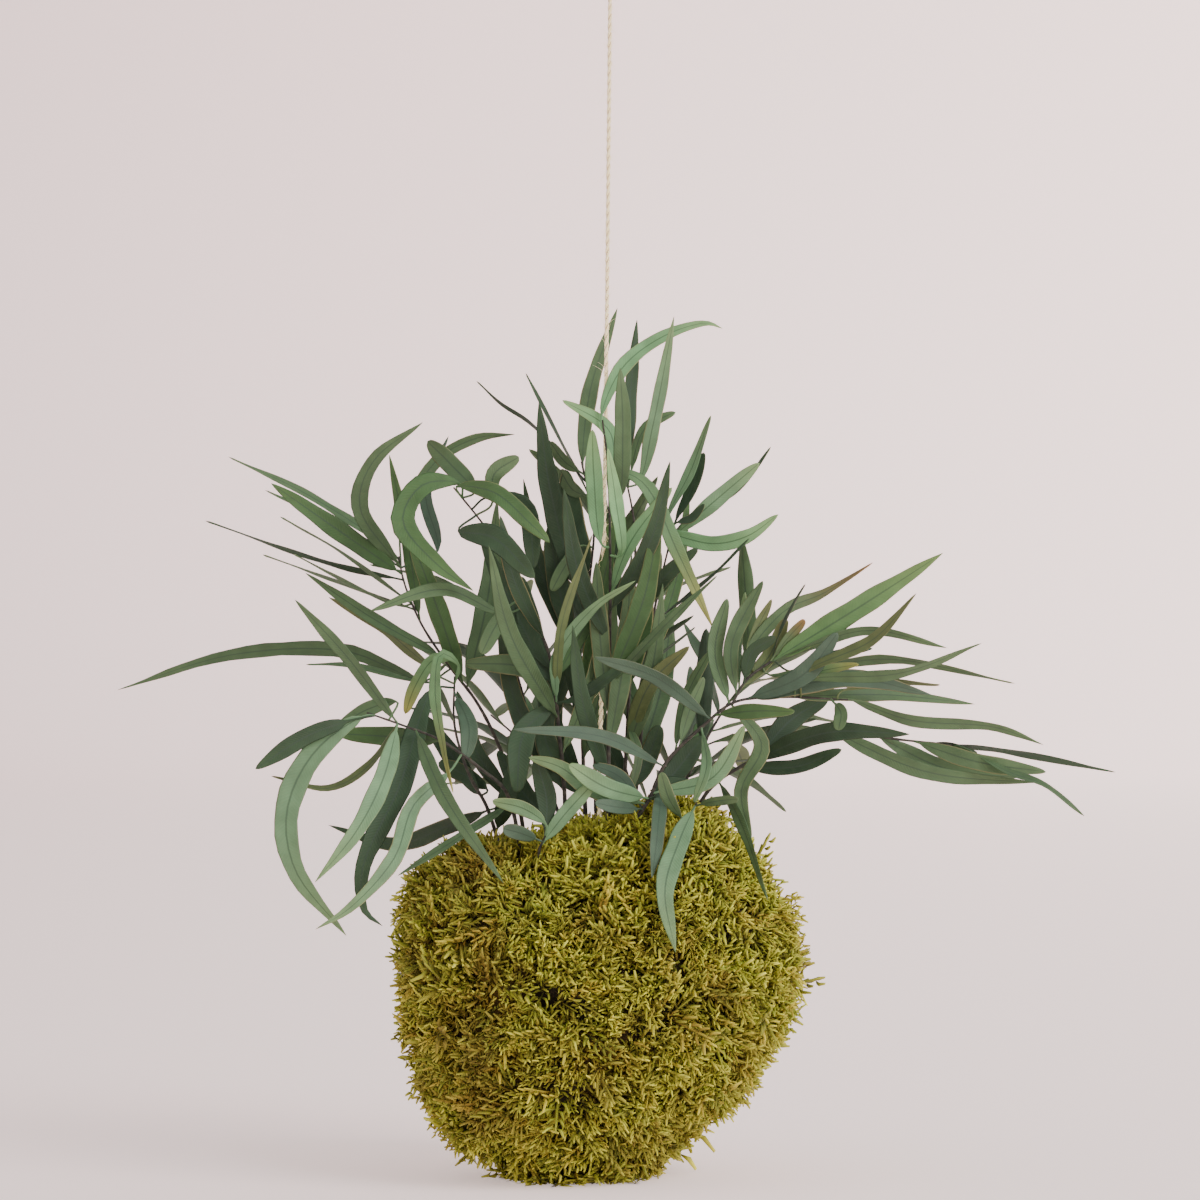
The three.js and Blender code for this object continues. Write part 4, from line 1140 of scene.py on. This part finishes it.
def loop_route():
    """The loop's centreline: out of the knot, up and round, and back into it."""
    x, y, z = TWINE_HEAD
    low = z + KNOT_GAP + KNOT_RADIUS
    half = LOOP_WIDTH / 2
    widest = low + LOOP_WIDEST * LOOP_HEIGHT
    return np.array([
        [x - LOOP_MOUTH, y, low], [x - half, y, widest], [x, y, low + LOOP_HEIGHT],
        [x + half, y, widest], [x + LOOP_MOUTH, y, low],
    ])


def add_plies(skin, route, settings, facing=FRONT):
    """Adds two plies twisted round a route: each is an uneven tube whose centre turns round the route
    once a lay length. Its value ridge counts fibres round it, and outer is 1 on the twine's outside."""
    length = curve_points(route)[1][-1]
    count = max(int(length / PLY_STEP), 12)
    along = np.linspace(0, 1, count)
    centre, tangent = along_curve(route, along)
    normal, side = frames_across(tangent, facing)
    radius = settings.diameter / MM * PLY_SHARE / 2
    offset = settings.diameter / MM / 2 - radius
    around = np.linspace(0, 2 * np.pi, PLY_SIDES, endpoint=False)
    shape = (count, PLY_SIDES)
    for ply in range(2):
        turn = along * length / (settings.lay / MM) * 2 * np.pi + ply * np.pi
        out = side * np.cos(turn)[:, None] + normal * np.sin(turn)[:, None]
        over = np.cross(tangent, out)
        middle = centre + out * offset
        uneven = PLY_UNEVEN * np.sin(along * length * PLY_RATE + ply)
        uneven = uneven + PLY_FINE_UNEVEN * np.sin(along * length * PLY_FINE_RATE)
        swell = radius * (PLY_FULLNESS + uneven)
        skin.add_tube(
            middle[:, None] + circle_across(out, over, PLY_SIDES) * swell[:, None, None],
            ridge=np.broadcast_to(around[None, :] / (2 * np.pi) + (along * length / 3)[:, None], shape),
            outer=np.broadcast_to(np.cos(around), shape),
        )


def add_fibres(skin, route, count, random):
    """Adds stray fibres: thin three-sided spikes that leave the twine at a slant and curl."""
    rings, sides = 5, 3
    places, tangents = along_curve(route, random.uniform(*FIBRE_PLACES, count))
    normal, side = frames_across(tangents, FRONT)
    turn = random.uniform(0, 2 * np.pi, count)[:, None]
    out = side * np.cos(turn) + normal * np.sin(turn)
    slant = random.uniform(*FIBRE_SLANTS, count)[:, None]
    size = random.uniform(*FIBRE_LENGTHS, count)[:, None]
    sign = np.where(random.uniform(0, 1, (count, 1)) < 0.5, -1, 1)
    direction = out * np.sin(slant) + tangents * sign * np.cos(slant)
    over = np.cross(out, tangents)
    along = np.linspace(0, 1, rings)
    reach = FIBRE_RADIUS * (1 - FIBRE_TAPER * along)
    for index in range(count):
        points = np.array([
            places[index] + out[index] * FIBRE_ROOT,
            places[index] + direction[index] * size[index] * FIBRE_MIDDLE,
            places[index] + direction[index] * size[index]
            + (over[index] - tangents[index]) * FIBRE_CURL,
        ])
        centre, tangent = along_curve(points, along)
        up, across = frames_across(tangent, unit(over[index] + 0.3 * out[index]))
        skin.add_tube(
            centre[:, None] + circle_across(across, up, sides) * reach[:, None, None],
            ridge=np.zeros((rings, sides)), outer=np.ones((rings, sides)))


def twine_material():
    """Natural jute: cream plies with painted shade in the grooves between the plies, dull and hairy."""
    material, node, shader = new_material("two-ply jute")
    ridge, outer = (
        node("Attribute", out="Fac", attribute_name=name) for name in ("ridge", "outer"))
    place = node("TexCoord", out="Object")
    turn = node("Math", ridge, 25, operation="MULTIPLY")
    wave = node("Math", turn, operation="SINE")
    fleck = node("TexNoise", inputs={"Vector": place, "Scale": 700, "Detail": 3})
    flecked = node("Math", wave, fleck, operation="MULTIPLY")
    ramp = node("ValToRGB", node("MapRange", flecked, -0.5, 0.5, 0, 1))
    set_stops(ramp, (0, "#DDC588"), (1, "#FFF3C8"))
    # Painted shade: each ply darkens on its inner side, where it lies against the other ply
    painted_groove_shade = node("MapRange", outer, -0.6, 0.3, 0.9, 0)
    layers = {"Factor_Float": painted_groove_shade, "A_Color": ramp, "B_Color": linear("#503C1C")}
    colour = node("Mix", inputs=layers, out="Result_Color", data_type="RGBA")
    set_inputs(shader, {
        "Base Color": colour,
        "Roughness": 0.6,
        "Sheen Weight": 1,
        # Painted light: a faint glow brightens the twine, standing for the light that the loose fibres
        # let through
        "Emission Color": colour,
        "Emission Strength": 0.55,
        "Normal": node("Bump", inputs={"Height": wave, "Strength": 0.4, "Distance": 0.0001}),
    })
    return material


def soil_material():
    """Damp peat and clay ball: dark brown crumbs."""
    material, node, shader = new_material("peat and clay soil")
    place = node("TexCoord", out="Object")
    crumbs = node("TexNoise", inputs={"Vector": place, "Scale": 350, "Detail": 5})
    ramp = node("ValToRGB", crumbs)
    set_stops(ramp, (0, "#21160E"), (1, "#5B4330"))
    set_inputs(shader, {
        "Base Color": ramp,
        "Roughness": 0.95,
        "Normal": node("Bump", inputs={"Height": crumbs, "Strength": 0.8, "Distance": 0.001}),
    })
    return material


def stage_material(left, right):
    """Matte seamless paper, which turns a little lighter from left to right: painted light that
    brightens the right. A faint glow that grows the same way stands for the lamps that light only the
    paper."""
    material, node, shader = new_material("seamless paper")
    place = node("TexCoord", out="Object")
    sideways = node("SeparateXYZ", place)
    share = node("MapRange", sideways, -PAPER_FADE, PAPER_FADE, 0, 1)
    ramp = node("ValToRGB", share)
    set_stops(ramp, (0, left), (1, right))
    tooth = node("TexNoise", inputs={"Vector": place, "Scale": 900, "Detail": 2})
    set_inputs(shader, {
        "Base Color": ramp,
        "Emission Color": ramp,
        "Emission Strength": node("MapRange", share, 0, 1, *PAPER_GLOW),
        "Normal": node("Bump", inputs={"Height": tooth, "Strength": 0.02, "Distance": 0.0001}),
        "Roughness": 0.95,
        "Specular IOR Level": 0.1,
    })
    return material


class LeafSettings(bpy.types.PropertyGroup):
    """Sizes of the leaf blades."""

    fold: bpy.props.FloatProperty(
        name="Fold", description="How steeply each half of a blade rises from the midrib", default=0.2)
    thickness: bpy.props.FloatProperty(
        name="Thickness", description="Thickness of a blade at the midrib", default=0.5 * MM,
        unit="LENGTH", precision=5)
    ripple: bpy.props.FloatProperty(
        name="Ripple", description="How far the margins ripple up and down", default=0.45 * MM,
        unit="LENGTH", precision=5)
    ripple_pitch: bpy.props.FloatProperty(
        name="Ripple pitch", description="Length of one ripple along the margin", default=34 * MM,
        unit="LENGTH", precision=4)


class MossSettings(bpy.types.PropertyGroup):
    """Sizes and numbers of the moss fronds."""

    count: bpy.props.IntProperty(
        name="Fronds", description="How many fronds grow on each quarter of the moss", default=1450)
    length: bpy.props.FloatProperty(
        name="Frond length", description="Usual length of a frond", default=15 * MM,
        unit="LENGTH", precision=4)
    pairs: bpy.props.IntProperty(
        name="Branchlets", description="Pairs of branchlets on a frond", default=5)
    lean_low: bpy.props.FloatProperty(
        name="Flattest", description="Angle of the flattest fronds to the moss", default=0.05,
        subtype="ANGLE")
    lean_high: bpy.props.FloatProperty(
        name="Steepest", description="Angle of the steepest fronds to the moss", default=0.85,
        subtype="ANGLE")
    seed: bpy.props.IntProperty(name="Seed", description="Changes how the fronds fall", default=11)
    inset: bpy.props.FloatProperty(
        name="Mat depth", description="How far the mat lies below the tips of the moss",
        default=8.0 * MM, unit="LENGTH", precision=4)


class TwineSettings(bpy.types.PropertyGroup):
    """Sizes of the jute twine."""

    diameter: bpy.props.FloatProperty(
        name="Diameter", description="Thickness of the twisted twine", default=TWINE_DIAMETER * MM,
        unit="LENGTH", precision=5)
    lay: bpy.props.FloatProperty(
        name="Lay", description="Length of one full turn of the plies", default=7.5 * MM,
        unit="LENGTH", precision=4)
    fibres: bpy.props.IntProperty(
        name="Stray fibres", description="How many fibres stand out of the twine", default=340)


class StageSettings(bpy.types.PropertyGroup):
    """Paper, camera and lights."""

    # The paper's colour goes lighter from left to right: painted light
    paper_left: bpy.props.StringProperty(
        name="Paper left", description="sRGB hex colour of the paper on the left", default="#EFDDDC")
    paper_right: bpy.props.StringProperty(
        name="Paper right", description="sRGB hex colour of the paper on the right", default="#FBE8E4")
    distance: bpy.props.FloatProperty(
        name="Camera distance", description="From the camera to the middle of the plant", default=2.0,
        unit="LENGTH")
    height: bpy.props.FloatProperty(
        name="Camera height", description="Height of the level camera", default=0.2304, unit="LENGTH",
        precision=4)
    view_width: bpy.props.FloatProperty(
        name="View width", description="Width of the view at the middle of the plant", default=0.48,
        unit="LENGTH", precision=3)


class KOKEDAMA_OT_stage(bpy.types.Operator):
    """Paper bowl, lights, sky and camera"""

    bl_idname = "kokedama.stage"
    bl_label = "Stage"

    def execute(self, context):
        """Makes the paper as one profile turned round the plant: a flat floor, a rounded corner and a
        wall, wide enough for a camera on any side."""
        settings = context.scene.kokedama_stage
        bend = np.linspace(0, np.pi / 2, CORNER_RINGS + 1)[1:]
        flat = np.array([INNER_RADIUS, *np.linspace(SECOND_RADIUS, FLOOR_RADIUS, FLOOR_RINGS)])
        reach = FLOOR_RADIUS + CORNER_RADIUS
        radius = np.concatenate([flat, FLOOR_RADIUS + CORNER_RADIUS * np.sin(bend), [reach]])
        height = np.concatenate([
            np.full(len(flat), -PAPER_DROP), CORNER_RADIUS * (1 - np.cos(bend)), [WALL_HEIGHT]])
        turns = PAPER_TURNS
        turn = np.linspace(0, 2 * np.pi, turns, endpoint=False)
        grid = np.stack([
            radius[:, None] * np.cos(turn), radius[:, None] * np.sin(turn),
            np.broadcast_to(height[:, None], (len(radius), turns)),
        ], axis=-1)
        ring, side = np.meshgrid(np.arange(len(radius) - 1), np.arange(turns), indexing="ij")
        a = ring * turns + side
        b = ring * turns + (side + 1) % turns
        faces = np.stack([a, a + turns, b + turns, b], axis=-1).reshape(-1, 4)
        mesh = bpy.data.meshes.new("paper")
        mesh.from_pydata(grid.reshape(-1, 3).tolist(), [], [*faces.tolist(), list(range(turns))])
        mesh.polygons.foreach_set("use_smooth", np.ones(len(mesh.polygons), bool))
        mesh.materials.append(stage_material(settings.paper_left, settings.paper_right))
        paper = bpy.data.objects.new("paper", mesh)
        context.scene.collection.objects.link(paper)
        world = bpy.data.worlds.new("studio")
        world.use_nodes = True
        context.scene.world = world
        background = world.node_tree.nodes["Background"]
        background.inputs["Color"].default_value = linear(SKY_COLOUR)
        background.inputs["Strength"].default_value = SKY_STRENGTH
        for name, towards, strength in SUNS:
            lamp = bpy.data.lights.new(name, "SUN")
            lamp.angle = SUN_ANGLE
            lamp.energy = strength
            light = bpy.data.objects.new(name, lamp)
            light.rotation_mode = "QUATERNION"
            light.rotation_quaternion = mathutils.Vector(towards).to_track_quat("Z", "Y")
            context.scene.collection.objects.link(light)
        lens = bpy.data.cameras.new("camera")
        lens.lens = lens.sensor_width * settings.distance / settings.view_width
        camera = bpy.data.objects.new("camera", lens)
        camera.location = (0, -settings.distance, settings.height)
        camera.rotation_euler = (np.pi / 2, 0, 0)
        context.scene.collection.objects.link(camera)
        context.scene.camera = camera
        return {"FINISHED"}


class KOKEDAMA_OT_twine(bpy.types.Operator):
    """Two-ply jute twine with its knot, loop and stray fibres"""

    bl_idname = "kokedama.twine"
    bl_label = "Twine"

    def execute(self, context):
        settings = context.scene.kokedama_twine
        jute = twine_material()
        route = twine_route()
        plies = Skin()
        add_plies(plies, route, settings)
        twine = plies.piece("jute_twine", jute, "twine", "twine")
        head = Skin()
        add_plies(head, loop_route(), settings)
        x, y, z = TWINE_HEAD
        low = z + KNOT_GAP + KNOT_RADIUS
        angle = np.linspace(0, 2 * np.pi, KNOT_POINTS)
        reach = KNOT_RADIUS - KNOT_INSET
        for turn in range(KNOT_TURNS):
            tilt = turn * KNOT_TILT
            rise = (turn - 1) * KNOT_RISE
            circle = np.stack([
                x + reach * np.cos(angle), y + reach * np.sin(angle) * np.cos(tilt),
                low + rise + reach * np.sin(angle) * np.sin(tilt) * KNOT_FLATTENING], axis=-1)
            add_plies(head, circle, settings, facing=KNOT_FACING)
        loop = head.piece("jute_knot_and_loop", jute, "twine", "twine_loop")
        strays = Skin()
        add_fibres(strays, route, settings.fibres, np.random.default_rng(FIBRE_SEED))
        fibres = strays.piece("jute_fibres", jute, "twine", None)
        return {"FINISHED"}


class KOKEDAMA_OT_sprays(bpy.types.Operator):
    """Leafy eucalyptus sprays"""

    bl_idname = "kokedama.sprays"
    bl_label = "Sprays"

    def execute(self, context):
        """Makes every spray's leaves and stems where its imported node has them."""
        settings = context.scene.kokedama_leaf
        green, bark = leaf_material(), stem_material()
        for order, (name, spray) in enumerate(SPRAYS.items()):
            leaves = []
            for index, (row, tone) in enumerate(zip(spray["leaves"], spray["tones"])):
                seed = order * SPRAY_SEEDS + index + 1
                leaves.append((partial(front_leaf, spray["twigs"], row, seed), seed, tone))
            filler = FILLERS.get(name, (0, 0))
            for index in range(filler[0]):
                seed = order * SPRAY_SEEDS + FIRST_FILLER_SEED + index
                make = partial(filler_leaf, spray["twigs"], filler, index, seed)
                leaves.append((make, seed, FILLER_TONES[index % len(FILLER_TONES)]))
            dress_spray(name, spray["twigs"], leaves, bark, green, settings)
        for order, (name, (count, size, stem)) in enumerate(BACK_SPRAYS.items()):
            leaves = []
            for index in range(count):
                seed = (order + len(SPRAYS)) * SPRAY_SEEDS + index + 1
                make = partial(back_leaf, count, size, stem, index, seed)
                leaves.append((make, seed, BACK_TONES[index % len(BACK_TONES)]))
            dress_spray(name, [stem], leaves, bark, green, settings)
        return {"FINISHED"}


class KOKEDAMA_OT_moss(bpy.types.Operator):
    """Moss mat and its fronds"""

    bl_idname = "kokedama.moss"
    bl_label = "Moss"

    def execute(self, context):
        """Makes the mat as a sphere grid shaped by the ball, and fronds over it in quarters."""
        settings = context.scene.kokedama_moss
        moss = moss_material()
        inset = settings.inset / MM
        turn = np.linspace(0, 2 * np.pi, MAT_GRID[0], endpoint=False)
        rise = np.linspace(-np.pi / 2, np.pi / 2, MAT_GRID[1])[1:-1]
        direction = np.stack([
            np.cos(rise)[:, None] * np.cos(turn), np.cos(rise)[:, None] * np.sin(turn),
            np.broadcast_to(np.sin(rise)[:, None], (len(rise), len(turn)))], axis=-1)
        mat = Skin()
        surface = moss_surface(direction, inset + MAT_DROP)
        even = np.ones(surface.shape[:2])
        # The mat takes the ramp's darkest colour: partly the moss's own, partly painted shade deep among
        # the fronds
        mat.add_tube(surface, reach=0 * even, draw=0.5 * even, shade=even)
        mat.piece("moss_mat", moss, "moss", "moss_coat")
        random = np.random.default_rng(settings.seed)
        spread = sphere_directions(settings.count * 4)
        every = unit(spread + random.normal(0, PLACE_SCATTER, spread.shape))
        quarter = (np.arctan2(every[:, 1], every[:, 0]) // (np.pi / 2)).astype(int) + 2
        for index, side in enumerate(("front_left", "front_right", "back_right", "back_left")):
            fronds = Skin()
            chosen = every[quarter == index]
            for variant in range(FROND_VARIANTS):
                add_fronds(fronds, chosen[variant::FROND_VARIANTS], variant, settings, inset, random)
            fronds.piece("moss_fronds_" + side, moss, "moss", "moss_coat")
        return {"FINISHED"}


class KOKEDAMA_OT_soil(bpy.types.Operator):
    """Soil of the core ball"""

    bl_idname = "kokedama.soil"
    bl_label = "Soil"

    def execute(self, context):
        """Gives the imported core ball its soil."""
        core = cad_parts["core_ball"]
        core.data.materials.clear()
        core.data.materials.append(soil_material())
        return {"FINISHED"}


OPERATORS = (
    KOKEDAMA_OT_stage, KOKEDAMA_OT_twine, KOKEDAMA_OT_sprays, KOKEDAMA_OT_moss, KOKEDAMA_OT_soil,
)
SETTINGS = {
    "kokedama_leaf": LeafSettings,
    "kokedama_moss": MossSettings,
    "kokedama_twine": TwineSettings,
    "kokedama_stage": StageSettings,
}


class KOKEDAMA_PT_panel(bpy.types.Panel):
    """Lists the kokedama's pieces and settings"""

    bl_label = "Kokedama"
    bl_space_type = "VIEW_3D"
    bl_region_type = "UI"
    bl_category = "Kokedama"

    def draw(self, context):
        """One button for each operator, then each group of settings."""
        for operator in OPERATORS:
            self.layout.operator(operator.bl_idname)
        for name, group in SETTINGS.items():
            box = self.layout.box()
            for field in group.__annotations__:
                box.prop(getattr(context.scene, name), field)


def register():
    """Registers the settings, the operators and the panel."""
    for name, group in SETTINGS.items():
        bpy.utils.register_class(group)
        setattr(bpy.types.Scene, name, bpy.props.PointerProperty(type=group))
    for operator in OPERATORS:
        bpy.utils.register_class(operator)
    bpy.utils.register_class(KOKEDAMA_PT_panel)


def unregister():
    """Takes everything away again, in reverse."""
    bpy.utils.unregister_class(KOKEDAMA_PT_panel)
    for operator in reversed(OPERATORS):
        bpy.utils.unregister_class(operator)
    for name, group in reversed(SETTINGS.items()):
        delattr(bpy.types.Scene, name)
        bpy.utils.unregister_class(group)


def main():
    """Registers the add-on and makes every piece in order."""
    register()
    pieces = bpy.ops.kokedama
    for make in (pieces.stage, pieces.twine, pieces.sprays, pieces.moss, pieces.soil):
        make()


if __name__ == "__main__":
    main()
